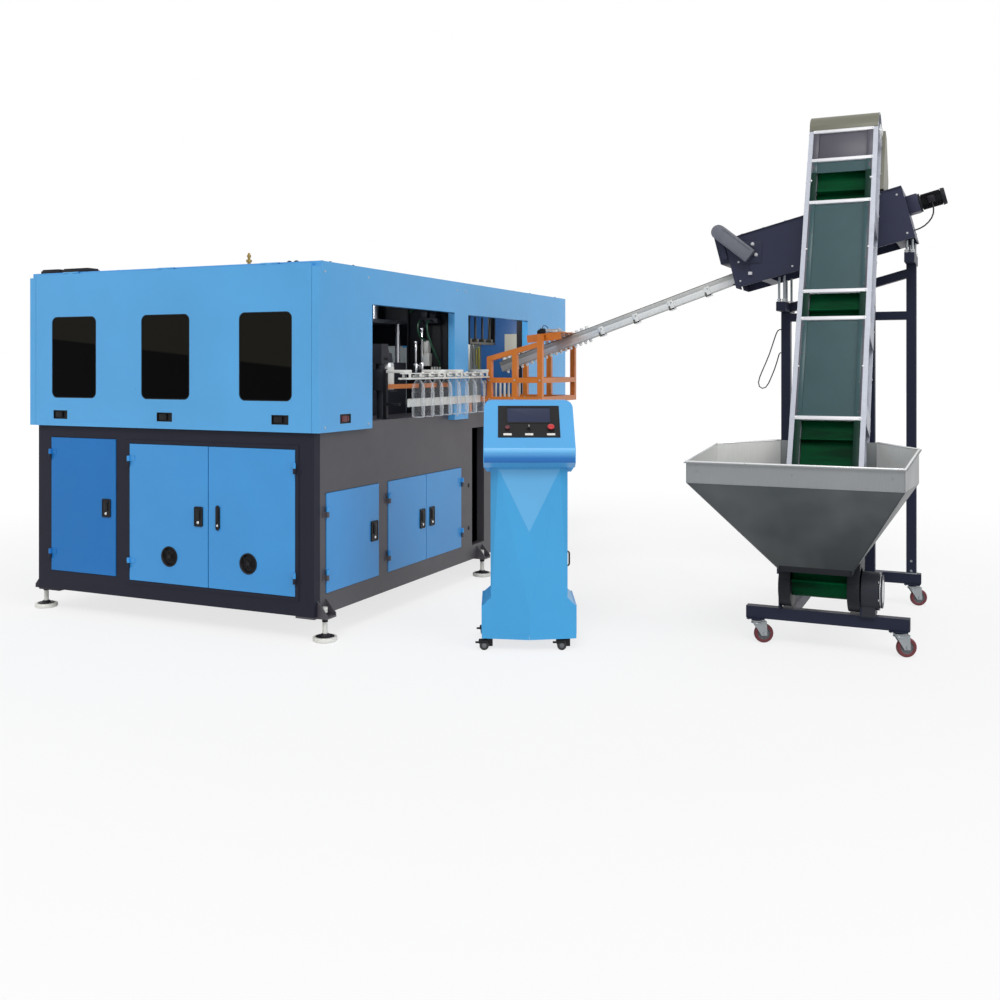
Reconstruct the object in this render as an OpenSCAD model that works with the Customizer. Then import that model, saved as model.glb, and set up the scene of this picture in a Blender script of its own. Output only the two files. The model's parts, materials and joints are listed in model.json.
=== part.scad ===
// Linear stretch blow moulding machine for drinks bottles, with its preform feeder and its console.
// X runs along the front, Y runs back along the side with the two work openings, Z is up.
// Lengths are measured from the floor under the cabinet's near corner and then centred on the line.

/* [Line] */
// Middle of the whole line, to the right of the cabinet's near corner
centre_x = 460; // [0:10:1000]
// Middle of the whole line, behind the cabinet's near corner
centre_y = 1970; // [1000:10:3000]
// Gap left between a piece and its seat
seat_gap = 0.3; // [0.1:0.1:0.8]
// Radial clearance of a shaft or pin in its bore
running_gap = 0.05; // [0.02:0.01:0.1]

/* [Cabinet] */
// Width of the guarded cabinet across the front
cab_w = 2248; // [2100:1:2400]
// Length of the guarded cabinet
cab_l = 3945; // [3800:1:4200]
// Height of the roof above the floor
cab_top = 2200; // [2100:1:2400]
// Height of the guards' lower edge
cab_bottom = 1210; // [1150:1:1240]
// Depth of the side guards, which stand out past the base
side_depth = 50; // [40:1:70]
// Depth of the front and rear guards
front_depth = 25; // [20:1:30]
// Thickness of the guards' sheet metal
sheet = 3; // [2:0.5:4]
// Depth of the roof pan
roof_depth = 30; // [25:1:45]
// Width of the tubes of the upper frame
tube = 50; // [40:1:60]

/* [Windows] */
// Width of each front window
window_w = 377; // [300:1:400]
// Lower edge of the front windows
window_z0 = 1390; // [1350:1:1450]
// Upper edge of the front windows
window_z1 = 1912; // [1850:1:1950]
// Corner radius of the windows
window_r = 40; // [20:1:60]
// Distance of the first window from the cabinet's near corner
window_x0 = 186; // [150:1:210]
// Distance from a window's left edge to its latch, at the right window
latch_first = 233; // [200:1:250]
// How much nearer the latch sits at each further window
latch_step = 110; // [80:1:116]
// Width of each recessed latch under a window
latch_w = 120; // [80:1:140]
// Height of each recessed latch
latch_h = 56; // [40:1:70]
// Lower edge of the latches
latch_z = 1254; // [1240:1:1290]

/* [Side openings] */
// Start of the near work opening
near_y0 = 587; // [500:1:650]
// End of the near work opening and start of the far guard
near_y1 = 1722; // [1600:1:1750]
// Start of the far work opening
far_y0 = 1945; // [1900:1:2000]
// End of the far work opening
far_y1 = 3070; // [2900:1:3150]
// Top of the near work opening
near_top = 1978; // [1900:1:2020]
// Top of the far work opening
far_top = 1970; // [1900:1:2020]

/* [Base] */
// Top of the machine bed
bed_top = 1250; // [1245:1:1300]
// Thickness of the bed plate
bed_t = 25; // [15:1:40]
// Lower edge of the base
skirt_z = 146; // [130:1:180]
// Depth of the welded frame members
frame_t = 60; // [50:1:80]
// Thickness of the base walls
wall_t = 20; // [10:1:30]
// How far the foot brackets stand out of the base
bracket_out = 65; // [50:1:80]
// Width of a foot bracket
bracket_w = 100; // [80:1:120]
// Thickness of a foot bracket's plate
bracket_t = 12; // [8:1:16]
// Radius of a levelling foot's pad
pad_r = 72; // [60:1:80]
// Height of a levelling foot's pad
pad_h = 24; // [15:1:30]
// Radius of a levelling foot's stem
stem_r = 14.5; // [12:0.5:16]
// Radius of a levelling foot's nuts, over the corners
nut_r = 19; // [17:0.5:19.5]
// Place of the near levelling feet along the machine
foot_y0 = 107; // [80:1:200]
// Place of the middle levelling feet along the machine
foot_y1 = 2247; // [2000:1:2400]

/* [Doors] */
// Thickness of a door pan
door_t = 25; // [20:1:30]
// How far a closed door stands out of the base
door_proud = 5; // [3:1:8]
// Gap round a door
door_gap = 3; // [2:0.5:5]
// Width of the lip that a closed door rests on
door_lip = 15; // [10:1:25]
// Outer radius of a hinge knuckle
knuckle_r = 9; // [7:0.5:12]
// Length of a hinge knuckle
knuckle_h = 32; // [24:1:45]
// Radius of a hinge pin
pin_r = 4; // [3:0.5:5]
// Inset of a hinge from the end of its door
hinge_inset = 110; // [80:1:150]
// Radius of the round vents in the front doors
vent_r = 58; // [40:1:70]
// Height of the round vents
vent_z = 425; // [380:1:470]
// Left door of the front, from the cabinet's left side to its hinge side
left_door_in = 165; // [130:1:200]
// Width of the front's left door
left_door_w = 550; // [500:1:580]
// Width of the post between the front's doors
door_post = 110; // [90:1:140]
// Double doors of the front, right side
pair_x1 = -176; // [-200:1:-160]
// Lower edge of the left door
left_door_z0 = 267; // [250:1:300]
// Upper edge of the left door
left_door_z1 = 1135; // [1100:1:1150]
// Lower edge of the double doors
pair_z0 = 255; // [240:1:300]
// Upper edge of the double doors
pair_z1 = 1112; // [1080:1:1150]
// Near side door, hinge side
side_door_y0 = 144; // [130:1:170]
// Near side door, lock side
side_door_y1 = 744; // [700:1:800]
// Double side doors, near side
side_pair_y0 = 860; // [830:1:900]
// Double side doors, where they meet
side_pair_ym = 1380; // [1350:1:1420]
// Double side doors, far side
side_pair_y1 = 1923; // [1900:1:1950]
// Lower edge of the side doors
side_door_z0 = 264; // [250:1:300]
// Upper edge of the side doors
side_door_z1 = 853; // [820:1:900]
// Start of the doorway recess
recess_y0 = 2111; // [2080:1:2130]
// End of the doorway recess
recess_y1 = 2323; // [2300:1:2350]
// Lower edge of the doorway recess
recess_z0 = 252; // [240:1:280]
// Upper edge of the doorway recess
recess_z1 = 1131; // [1100:1:1150]

/* [Clamp and stretch unit] */
// Outer face of the fixed mould platen
platen_x1 = -420; // [-450:1:-400]
// Outer face of the tail platen
platen_x0 = -1560; // [-1600:1:-1500]
// Start of the platens along the machine
platen_y0 = 1140; // [1120:1:1160]
// End of the platens along the machine
platen_y1 = 1760; // [1740:1:1790]
// Top of the platens
platen_top = 1620; // [1600:1:1650]
// Thickness of a platen
platen_t = 60; // [40:1:80]
// Radius of a tie bar
tie_r = 28; // [20:1:32]
// Inset of the tie bars from the platen's edges
tie_inset = 70; // [60:1:80]
// Depth of one mould half
mould_t = 110; // [90:1:130]
// Stroke that opens the mould
mould_stroke = 200; // [150:1:220]
// Radius of the clamp ram
ram_r = 40; // [30:1:50]
// Height of the stretch unit's plate
stretch_z = 1900; // [1880:1:1930]
// Thickness of the stretch unit's plates
stretch_t = 25; // [20:1:30]
// Radius of the stretch unit's columns
column_r = 18; // [14:1:22]
// Radius of a stretch rod
rod_r = 8; // [6:0.5:10]
// Number of cavities in the mould
cavities = 4; // [2:1:4]
// Distance from one cavity to the next
cavity_pitch = 132; // [110:1:134]
// Stroke of the stretch rods
rod_stroke = 110; // [80:1:115]

/* [Bottles and preforms] */
// Height of the bottles' neck rings
neck_z = 1520; // [1500:1:1560]
// Radius of a bottle
bottle_r = 44; // [35:1:48]
// Length of a bottle under its neck ring
bottle_h = 262; // [220:1:265]
// Radius of a neck
neck_r = 13; // [11:0.5:15]
// Radius of a neck ring
ring_r = 19; // [16:0.5:22]
// Thickness of a neck ring
ring_t = 3; // [2:0.5:4]
// Distance of the bottle line from the cabinet's side
bottle_x = 80; // [70:1:100]
// First bottle on the line
bottle_y0 = 1035; // [1000:1:1050]
// Number of bottles on the line
bottle_count = 8; // [4:1:8]
// Length of a preform under its neck ring
preform_h = 105; // [80:1:130]
// Radius of a preform
preform_r = 12; // [10:0.5:13]
// Distance from one preform to the next
preform_pitch = 66; // [50:1:90]
// Number of preforms on the rail
preform_count = 8; // [4:1:8]

/* [Infeed cage and rail] */
// Width of the cage's square tube
cage_tube = 38; // [30:1:45]
// Near frame of the cage
cage_y0 = 2110; // [2060:1:2160]
// Far frame of the cage
cage_y1 = 2790; // [2740:1:2840]
// First post of the cage, from the cabinet's side
cage_x0 = 100; // [80:1:120]
// Middle post of the cage
cage_x1 = 305; // [280:1:330]
// Last post of the cage
cage_x2 = 505; // [480:1:540]
// Height of the cage's bottom rail
cage_bottom = 1350; // [1320:1:1380]
// Height of the cage's middle rail
cage_middle = 1490; // [1460:1:1510]
// Height of the sloped rail at the first post
cage_low = 1645; // [1620:1:1670]
// Height of the sloped rail at the last post
cage_high = 1755; // [1730:1:1790]
// Height of the tall near post
cage_tall = 1829; // [1800:1:1840]
// Lower end of the preform rail, from the cabinet's side
rail_x = 30; // [0:1:60]
// Height of the rail's lower end
rail_z = 1627; // [1600:1:1650]
// Middle of the rail
rail_y = 2450; // [2400:1:2500]
// Slope of the rail in degrees
rail_slope = 19; // [17:0.1:20]
// Depth of the rail's side strips
rail_h = 80; // [60:1:90]
// Thickness of the rail's side strips
rail_t = 8; // [5:1:10]

/* [Unscrambler] */
// Lower end of the unscrambler, from the cabinet's side
sorter_x = 1900; // [1880:1:1920]
// Front of the unscrambler
sorter_y = 2250; // [2245:1:2300]
// Height of the unscrambler's lower corner
sorter_z = 2130; // [2110:1:2150]
// Slope of the unscrambler in degrees
sorter_slope = 14.4; // [13:0.1:16]
// Length of the unscrambler's housing
sorter_l = 1190; // [1150:1:1250]
// Height of the unscrambler's housing
sorter_h = 348; // [330:1:370]
// Width of the unscrambler's housing
sorter_w = 420; // [400:1:440]
// Thickness of its plates
sorter_t = 5; // [3:0.5:8]
// Radius of a sorting roller
roller_r = 42; // [36:1:45]
// Half of the distance between the rollers
roller_side = 58; // [55:1:64]
// Height of the rollers in the housing
roller_z = 235; // [220:1:250]
// Radius of a roller's journal
journal_r = 12; // [10:1:16]

/* [Elevator] */
// Middle of the elevator, from the cabinet's side
elev_x = 2620; // [2600:1:2640]
// Place of the tail drum behind the near corner
tail_y = 1110; // [1100:1:1120]
// Height of the tail drum
tail_z = 350; // [345:1:370]
// Slope of the elevator in degrees
elev_angle = 67.2; // [66.5:0.1:68]
// Distance from drum to drum
elev_l = 3015; // [2950:1:3050]
// Half width of the elevator over its side frames
elev_half = 216; // [200:1:225]
// Width of a side frame
side_w = 62; // [50:1:70]
// Half depth of a side frame
side_h = 120; // [118:1:125]
// Wall of a side frame
side_t = 6; // [4:0.5:8]
// Radius of the drums
drum_r = 56; // [50:1:60]
// Radius of the drum shafts
shaft_r = 15; // [12:1:18]
// Thickness of the belt
belt_t = 4; // [3:0.5:6]
// Height of a cleat
cleat_h = 45; // [30:1:48]
// Distance from one cleat to the next
cleat_pitch = 168; // [140:1:220]
// Depth of a cross bar
bar_t = 18; // [12:1:24]
// Thickness of the cover panels
panel_t = 4; // [3:0.5:6]

/* [Hopper] */
// Front wall of the hopper
hopper_y0 = 750; // [700:1:800]
// Back corners of the hopper
hopper_y1 = 1250; // [1200:1:1280]
// Half width of the hopper at its front wall
hopper_half = 575; // [550:1:620]
// Height of the front rim
rim_z = 1060; // [1040:1:1090]
// Height that the rim gains for each unit of depth
rim_rise = 0.14; // [0.1:0.01:0.16]
// Height of the upright band
band_h = 118; // [100:1:140]
// Half width of the neck
neck_half = 186; // [180:1:200]
// Front of the neck
neck_y0 = 880; // [860:1:920]
// Height of the neck
neck_low = 465; // [440:1:480]
// Wall of the hopper
hopper_t = 3; // [2:0.5:4]
// Width of the rim's flange
rim_w = 14; // [8:1:20]

/* [Feeder stand] */
// Width of the stand's square tube
leg = 62; // [50:1:64]
// Left face of the left post
post_x0 = 2166; // [2150:1:2190]
// Left face of the right post
post_x1 = 2983; // [2960:1:3000]
// Middle of the posts
post_y = 2500; // [2480:1:2520]
// Top of the left post
post_top0 = 1970; // [1950:1:1980]
// Top of the right post
post_top1 = 2270; // [2250:1:2280]
// Lower face of the base beams
beam_z = 147; // [140:1:160]
// Height of the base beams
beam_h = 68; // [60:1:70]
// Left end of the front beam
beam_x0 = 2207; // [2190:1:2220]
// Right end of the front beam
beam_x1 = 3093; // [3080:1:3120]
// Middle of the front beam
beam_y = 1100; // [1095:1:1105]
// Radius of a castor wheel
wheel_r = 55; // [50:1:60]
// Width of a castor wheel
wheel_w = 32; // [28:1:38]
// Trail of a castor wheel behind its kingpin
trail = 40; // [30:1:50]
// Radius of a castor's kingpin and axle
axle_r = 6; // [5:0.5:8]

/* [Console] */
// Place of the console, from the cabinet's side
console_x = 1140; // [1000:1:1300]
// Place of the console behind the near corner
console_y = 381; // [200:1:500]
// Turn of the console in degrees
console_turn = 24.3; // [0:0.1:45]
// Width of the console's foot
foot_w = 534; // [480:1:560]
// Depth of the console's foot
foot_d = 450; // [400:1:480]
// Lower face of the console's foot
foot_z = 90; // [80:1:100]
// Top of the console's foot
foot_top = 252; // [230:1:280]
// Width of the column
column_w = 432; // [400:1:460]
// Depth of the column
column_d = 350; // [320:1:400]
// Top of the column's front facets
facet_top = 1020; // [980:1:1040]
// Lower tip of the column's middle facet
facet_tip = 664; // [620:1:700]
// Width of the console's head
head_w = 510; // [480:1:540]
// Lower edge of the head's cheeks
cheek_z = 1000; // [980:1:1020]
// Top of the head
head_top = 1397; // [1380:1:1420]
// Corner radius of the head
head_r = 42; // [30:1:50]
// Slope of the head's panel in degrees
panel_slope = 41; // [36:1:45]
// Depth of the sloped face's lower edge, in front of the console's middle
panel_y = -80; // [-84:1:-70]
// Height of the sloped face's lower edge
panel_z = 1142; // [1130:1:1160]
// Length of the sloped face
face_l = 370; // [355:1:375]
// Width of the black control panel
panel_w = 349; // [320:1:380]
// Start of the black control panel up the slope
panel_u = 82; // [70:1:90]
// Length of the black control panel up the slope
panel_l = 258; // [240:1:265]
// Place of the buttons up the slope
button_u = 154; // [140:1:170]

/* [Hidden] */
$fn = 48;

blue = "#5ba7dd";
door_blue = "#4693d4";
slate = "#3d3d49";
orange = "#c86e1e";
alu = "#c4c6c8";
steel = "#a9adb1";
dark = "#26272b";
green = "#06502f";
clear = "#dfe8ec";

base_l = -(cab_w - side_depth);
base_r = -side_depth;
base_f = front_depth;
base_b = cab_l - front_depth;
frame_top = bed_top - bed_t;
roof_z = cab_top - roof_depth;
foot_x = 20 + base_r;
foot_l = base_l - 20;
foot_y2 = cab_l - foot_y0;
left_door_x0 = left_door_in - cab_w;
left_door_x1 = left_door_x0 + left_door_w;
pair_x0 = left_door_x1 + door_post;
pair_xm = pair_x0 + 0.495 * (pair_x1 - pair_x0);
window_pitch = (cab_w - 2 * window_x0 - 7 - window_w) / 2;
rail_l = (sorter_x - rail_x - 20) / cos(rail_slope);
door_back = door_t - door_proud;
hinge_y = -door_proud - knuckle_r - 1;
eps = 1;

module place() { translate([-centre_x, -centre_y, 0]) children(); }
module box(lo, hi) { translate(lo) cube(hi - lo); }
module along_x(x0, x1) { translate([x0, 0, 0]) rotate([90, 0, 90]) linear_extrude(x1 - x0) children(); }
module along_y(y0, y1) { translate([0, y1, 0]) rotate([90, 0, 0]) linear_extrude(y1 - y0) children(); }
module rod_x(x0, x1, r) { translate([x0, 0, 0]) rotate([0, 90, 0]) cylinder(r = r, h = x1 - x0); }
module rod_y(y0, y1, r) { translate([0, y0, 0]) rotate([-90, 0, 0]) cylinder(r = r, h = y1 - y0); }
module rod_z(z0, z1, r) { translate([0, 0, z0]) cylinder(r = r, h = z1 - z0); }

// Rectangle with round corners
module rounded(w, h, r) {
  translate([r, 0]) square([w - 2 * r, h]);
  translate([0, r]) square([w, h - 2 * r]);
  for (x = [r, w - r], y = [r, h - r]) translate([x, y]) circle(r);
}

// Stadium outline from one drum to the other
module stadium(r, l) {
  translate([0, -r]) square([l, 2 * r]);
  circle(r);
  translate([l, 0]) circle(r);
}

// Box with the ends and the back open to a pocket, as folded sheet is
module pan(size, wall) {
  difference() {
    cube(size);
    translate([wall, wall, wall]) cube([size[0] - 2 * wall, size[1], size[2] - 2 * wall]);
  }
}

// Base

// Opening for a door, with the lip that the closed door rests on; x runs from hinge to lock, y goes inwards
module door_opening(w, h) {
  box([0, -eps, 0], [w, door_back + seat_gap, h]);
  box([door_lip, -eps, door_lip], [w - door_lip, frame_t + eps, h - door_lip]);
}

// Half of a hinge that the frame carries, with its pin
module hinge_fixed(h) {
  for (z = [hinge_inset, h - hinge_inset]) translate([0, 0, z]) {
    translate([0, hinge_y, 0]) rod_z(-knuckle_h, -seat_gap, knuckle_r);
    translate([0, hinge_y, 0]) rod_z(-knuckle_h, knuckle_h - 2, pin_r);
    box([-knuckle_r - 3, hinge_y, -knuckle_h], [-pin_r, 0, -seat_gap]);
    box([-4 * knuckle_r, -3, -knuckle_h], [-pin_r, 0, -seat_gap]);
  }
}

// Folded door with its knuckles and its lock plate; lock is the plate's [x0, x1, z0, z1] in the door
module door(w, h, lock, vent_at) {
  difference() {
    union() {
      translate([door_gap, -door_proud, door_gap]) pan([w - 2 * door_gap, door_t, h - 2 * door_gap], 2);
      for (z = [hinge_inset, h - hinge_inset]) translate([0, 0, z]) {
        translate([0, hinge_y, 0]) rod_z(0, knuckle_h, knuckle_r);
        box([0, hinge_y, 0], [knuckle_r, -door_proud, knuckle_h]);
        box([0, -door_proud - 3, 0], [5 * knuckle_r, -door_proud, knuckle_h]);
      }
      box([lock[0], -door_proud - 5, lock[2]], [lock[1], -door_proud, lock[3]]);
    }
    for (z = [hinge_inset, h - hinge_inset])
      translate([0, hinge_y, z]) rod_z(-eps, knuckle_h + eps, pin_r + running_gap);
    translate([lock[0], -door_proud - 5 - eps, lock[2]])
      box([7, 0, 10], [lock[1] - lock[0] - 7, 4 + eps, (lock[3] - lock[2]) * 0.62]);
    if (vent_at > 0) translate([vent_at, 0, vent_z - pair_z0]) rod_y(-door_proud - eps, door_t, vent_r);
  }
}

// Welded angle bracket for a levelling foot, standing out in +X from x = 0
module foot_bracket(y, run_back) {
  difference() {
    box([-run_back, y - bracket_w / 2, skirt_z - bracket_t], [bracket_out, y + bracket_w / 2, skirt_z]);
    translate([foot_x - base_r, y, 0]) rod_z(0, cab_top, stem_r + 1);
  }
  for (s = [-1, 1]) translate([0, y + s * (bracket_w / 2 - 5), 0])
    along_y(-4, 4) polygon([[0, skirt_z], [bracket_out, skirt_z], [bracket_out, skirt_z + 12], [0, skirt_z + 90]]);
}

module base_front_frame() {
  color(slate) place() {
    difference() {
      union() {
        box([base_l, base_f, skirt_z], [base_r, base_f + frame_t, frame_top]);
        box([pair_x0 - 22, base_f - door_proud, pair_z0 - 22], [pair_x1 + 22, base_f, pair_z1 + 22]);
      }
      translate([left_door_x0, base_f, left_door_z0])
        door_opening(left_door_x1 - left_door_x0, left_door_z1 - left_door_z0);
      translate([pair_x0, base_f, pair_z0]) door_opening(pair_x1 - pair_x0, pair_z1 - pair_z0);
      box([pair_x0, base_f - 20, pair_z0], [pair_x1, base_f + 1, pair_z1]);
    }
    translate([left_door_x0, base_f, left_door_z0]) hinge_fixed(left_door_z1 - left_door_z0);
    translate([pair_x0, base_f, pair_z0]) hinge_fixed(pair_z1 - pair_z0);
    translate([pair_x1, base_f, pair_z0]) mirror([1, 0, 0]) hinge_fixed(pair_z1 - pair_z0);
  }
}

module base_side_frame() {
  h = side_door_z1 - side_door_z0;
  color(slate) place() {
    difference() {
      box([base_r - frame_t, base_f + frame_t, skirt_z], [base_r, base_b, frame_top]);
      translate([base_r, side_door_y0, side_door_z0]) rotate(90) door_opening(side_door_y1 - side_door_y0, h);
      translate([base_r, side_pair_y0, side_door_z0]) rotate(90) door_opening(side_pair_y1 - side_pair_y0, h);
      box([base_r - frame_t - eps, recess_y0, recess_z0], [base_r + eps, recess_y1, recess_z1]);
      for (z = [389, 706]) translate([0, 2055, z]) rod_x(base_r - 12, base_r + eps, 14);
    }
    translate([base_r, side_door_y0, side_door_z0]) rotate(90) hinge_fixed(h);
    translate([base_r, side_pair_y0, side_door_z0]) rotate(90) hinge_fixed(h);
    translate([base_r, side_pair_y1, side_door_z0]) rotate(90) mirror([1, 0, 0]) hinge_fixed(h);
    translate([base_r, 0, 0]) {
      foot_bracket(foot_y0, 0);
      foot_bracket(foot_y1, frame_t);
      foot_bracket(foot_y2, frame_t);
    }
    box([base_r - 130, base_f + 2, skirt_z - bracket_t], [base_r, foot_y0 + bracket_w / 2, skirt_z]);
  }
}

module base_shell() {
  color(slate) place() {
    box([base_l, base_f + frame_t, skirt_z], [base_l + wall_t, base_b, frame_top]);
    box([base_l + wall_t, base_b - wall_t, skirt_z], [base_r - frame_t, base_b, frame_top]);
    box([base_l + wall_t, base_f + frame_t, skirt_z], [base_r - frame_t, base_b - wall_t, skirt_z + wall_t / 2]);
    box([base_l, base_f + 2, skirt_z - bracket_t], [base_l + 180, foot_y0 + bracket_w / 2, skirt_z]);
    translate([base_l, 0, 0]) mirror([1, 0, 0])
      for (y = [foot_y0, foot_y1, foot_y2]) foot_bracket(y, wall_t);
  }
}

module bed_plate() {
  color(slate) place() box([base_l, base_f, frame_top], [base_r, base_b, bed_top]);
}

module levelling_foot() {
  rod_z(0, pad_h, pad_r);
  translate([0, 0, pad_h]) cylinder(r1 = pad_r * 0.4, r2 = stem_r + 4, h = 16);
  rod_z(pad_h, skirt_z + 50, stem_r);
  translate([0, 0, skirt_z - bracket_t - 24]) cylinder(r = nut_r, h = 24, $fn = 6);
  translate([0, 0, skirt_z]) cylinder(r = nut_r, h = 20, $fn = 6);
}

module levelling_feet() {
  color("#e4e4e0") place()
    for (x = [foot_x, foot_l], y = [foot_y0, foot_y1, foot_y2]) translate([x, y, 0]) levelling_foot();
}

// Guarded cabinet

post_ys = [base_f, near_y1 + 80, far_y1, base_b - tube];

module upper_frame() {
  color(dark) place() {
    for (x = [base_l, base_r - tube], y = post_ys) box([x, y, bed_top], [x + tube, y + tube, roof_z - tube]);
    for (x = [base_l, base_r - tube]) box([x, base_f, roof_z - tube], [x + tube, base_b, roof_z]);
    for (y = post_ys) box([base_l + tube, y, roof_z - tube], [base_r - tube, y + tube, roof_z]);
  }
}

hinge_xs = [for (share = [0.845, 0.5, 0.155]) -share * cab_w];
guard_top = cab_top - 12;
guard_hinge = [6, cab_top - 6];

// Knuckle of the front guard's hinges, between x0 and x1
module guard_knuckle(x0, x1, bore) {
  translate([0, guard_hinge[0], guard_hinge[1]]) difference() {
    rod_x(x0, x1, 5.5);
    if (bore) rod_x(x0 - eps, x1 + eps, 2.5 + running_gap);
  }
}

module roof_panel() {
  color(blue) place() {
    difference() {
      box([-cab_w, base_f + 1, roof_z], [0, cab_l, cab_top]);
      box([-cab_w + sheet, base_f + 1 + sheet, roof_z - eps], [-sheet, cab_l - sheet, cab_top - sheet]);
    }
    for (x = hinge_xs) {
      for (s = [-1, 1]) translate([s * 41, 0, 0]) {
        difference() {
          guard_knuckle(x - 20, x + 20, false);
          translate([0, guard_hinge[0], guard_hinge[1]]) rod_x(x - 20 - eps, x + 20 + eps, 2.5);
        }
        box([x - 20, guard_hinge[0] + 3, cab_top - 4], [x + 20, base_f + 2, cab_top]);
      }
      translate([0, guard_hinge[0], guard_hinge[1]]) rod_x(x - 61, x + 61, 2.5);
    }
  }
}

// Outer sheet of the left and rear sides, folded back all round
module rear_guards() {
  color(blue) place() {
    difference() {
      box([-cab_w, 0, cab_bottom], [-cab_w + side_depth, cab_l, roof_z]);
      box([-cab_w + sheet, sheet, cab_bottom + sheet], [-cab_w + side_depth + eps, cab_l - sheet, roof_z - sheet]);
    }
    difference() {
      box([-cab_w + side_depth, cab_l - front_depth, cab_bottom], [-side_depth, cab_l, roof_z]);
      box([-cab_w + side_depth + sheet, cab_l - front_depth - eps, cab_bottom + sheet],
        [-side_depth - sheet, cab_l - sheet, roof_z - sheet]);
    }
  }
}

// Folded sheet on the side with the openings, from y0 to y1, with one opening that reaches down to the bed
module side_guard(y0, y1, open0, open1, open_top) {
  difference() {
    box([-side_depth, y0, cab_bottom], [0, y1, roof_z]);
    box([-side_depth - eps, open0, cab_bottom - eps], [eps, open1, open_top]);
    for (pocket = [[y0 + sheet, open0 - sheet], [open1 + sheet, y1 - sheet]])
      if (pocket[1] > pocket[0])
        box([-side_depth - eps, pocket[0], cab_bottom + sheet], [-sheet, pocket[1], roof_z - sheet]);
    box([-side_depth - eps, y0 + sheet, open_top + sheet], [-sheet, y1 - sheet, roof_z - sheet]);
  }
}

module side_guard_near() {
  color(blue) place() difference() {
    side_guard(0, near_y1 + 5, near_y0, near_y1, near_top);
    box([-6, 220, latch_z], [eps, 220 + latch_w, latch_z + latch_h]);
  }
}

module side_guard_far() {
  color(blue) place() side_guard(near_y1 + 5, cab_l, far_y0, far_y1, far_top);
}

guard_x0 = -cab_w + side_depth;
guard_x1 = -side_depth;
window_xs = [for (i = [0:2]) -window_x0 - window_w - i * window_pitch];
latch_xs = [for (i = [0:2]) window_xs[i] + latch_first - i * latch_step];

module front_guard() {
  color(blue) place() {
    difference() {
      union() {
        difference() {
          box([guard_x0 + 2, 0, cab_bottom], [guard_x1 - 2, front_depth - seat_gap, guard_top]);
          box([guard_x0 + 2 + sheet, sheet, cab_bottom + sheet],
            [guard_x1 - 2 - sheet, front_depth + eps, guard_top - sheet]);
        }
        for (x = hinge_xs) {
          guard_knuckle(x - 20, x + 20, false);
          box([x - 20, 0.5, guard_top - 1], [x + 20, 3.5, guard_hinge[1] - 1]);
        }
      }
      for (x = window_xs) translate([x, 0, window_z0])
        along_y(-eps, front_depth) rounded(window_w, window_z1 - window_z0, window_r);
      for (x = latch_xs) box([x, -eps, latch_z], [x + latch_w, sheet + eps, latch_z + latch_h]);
      for (x = hinge_xs) guard_knuckle_bore(x);
    }
  }
}

module guard_knuckle_bore(x) {
  translate([0, guard_hinge[0], guard_hinge[1]]) rod_x(x - 21, x + 21, 2.5 + running_gap);
}

module front_windows() {
  color("#101214") place()
    for (x = window_xs) translate([x - 15, 0, window_z0 - 15])
      along_y(sheet, sheet + 5) rounded(window_w + 30, window_z1 - window_z0 + 30, window_r);
}

// Recessed paddle latches: a cup behind the sheet with a pull across it
module guard_latches() {
  color(dark) place()
    for (x = latch_xs) translate([x, 0, latch_z]) {
      difference() {
        box([-6, sheet, -6], [latch_w + 6, sheet + 14, latch_h + 6]);
        box([0, sheet - eps, 0], [latch_w, sheet + 11, latch_h]);
      }
      box([12, sheet + 2, 10], [latch_w * 0.6, sheet + 12, latch_h - 10]);
    }
}

// Doors

module front_door_left() {
  w = left_door_x1 - left_door_x0;
  color(door_blue) place() translate([left_door_x0, base_f, left_door_z0])
    door(w, left_door_z1 - left_door_z0, [w - 107, w - 43, 374, 484], 0);
}

module front_door_centre() {
  w = pair_xm - pair_x0;
  color(door_blue) place() translate([pair_x0, base_f, pair_z0])
    door(w, pair_z1 - pair_z0, [w - 101, w - 42, 371, 486], pair_xm - pair_x0 - 298);
}

module front_door_right() {
  w = pair_x1 - pair_xm;
  color(door_blue) place() translate([pair_x1, base_f, pair_z0]) mirror([1, 0, 0])
    door(w, pair_z1 - pair_z0, [w - 88, w - 59, 354, 503], 334);
}

module side_door_near() {
  w = side_door_y1 - side_door_y0;
  color(door_blue) place() translate([base_r, side_door_y0, side_door_z0]) rotate(90)
    door(w, side_door_z1 - side_door_z0, [w - 100, w - 22, 232, 355], 0);
}

module side_door_middle() {
  w = side_pair_ym - side_pair_y0;
  color(door_blue) place() translate([base_r, side_pair_y0, side_door_z0]) rotate(90)
    door(w, side_door_z1 - side_door_z0, [w - 95, w - 29, 226, 353], 0);
}

module side_door_far() {
  w = side_pair_y1 - side_pair_ym;
  color(door_blue) place() translate([base_r, side_pair_y1, side_door_z0]) rotate(90) mirror([1, 0, 0])
    door(w, side_door_z1 - side_door_z0, [w - 109, w - 46, 226, 353], 0);
}

// Clamp, stretch unit and oven

tie_ys = [platen_y0 + tie_inset, platen_y1 - tie_inset];
tie_zs = [bed_top + tie_inset + 10, platen_top - tie_inset];
platen_mid = (platen_y0 + platen_y1) / 2;
platen_mid_z = (bed_top + platen_top) / 2;
fixed_mould_x = platen_x1 - platen_t - mould_t;
moving_x = fixed_mould_x - mould_stroke - mould_t - platen_t;
cavity_ys = [for (i = [0:cavities - 1]) platen_mid + (i - (cavities - 1) / 2) * cavity_pitch];

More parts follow.
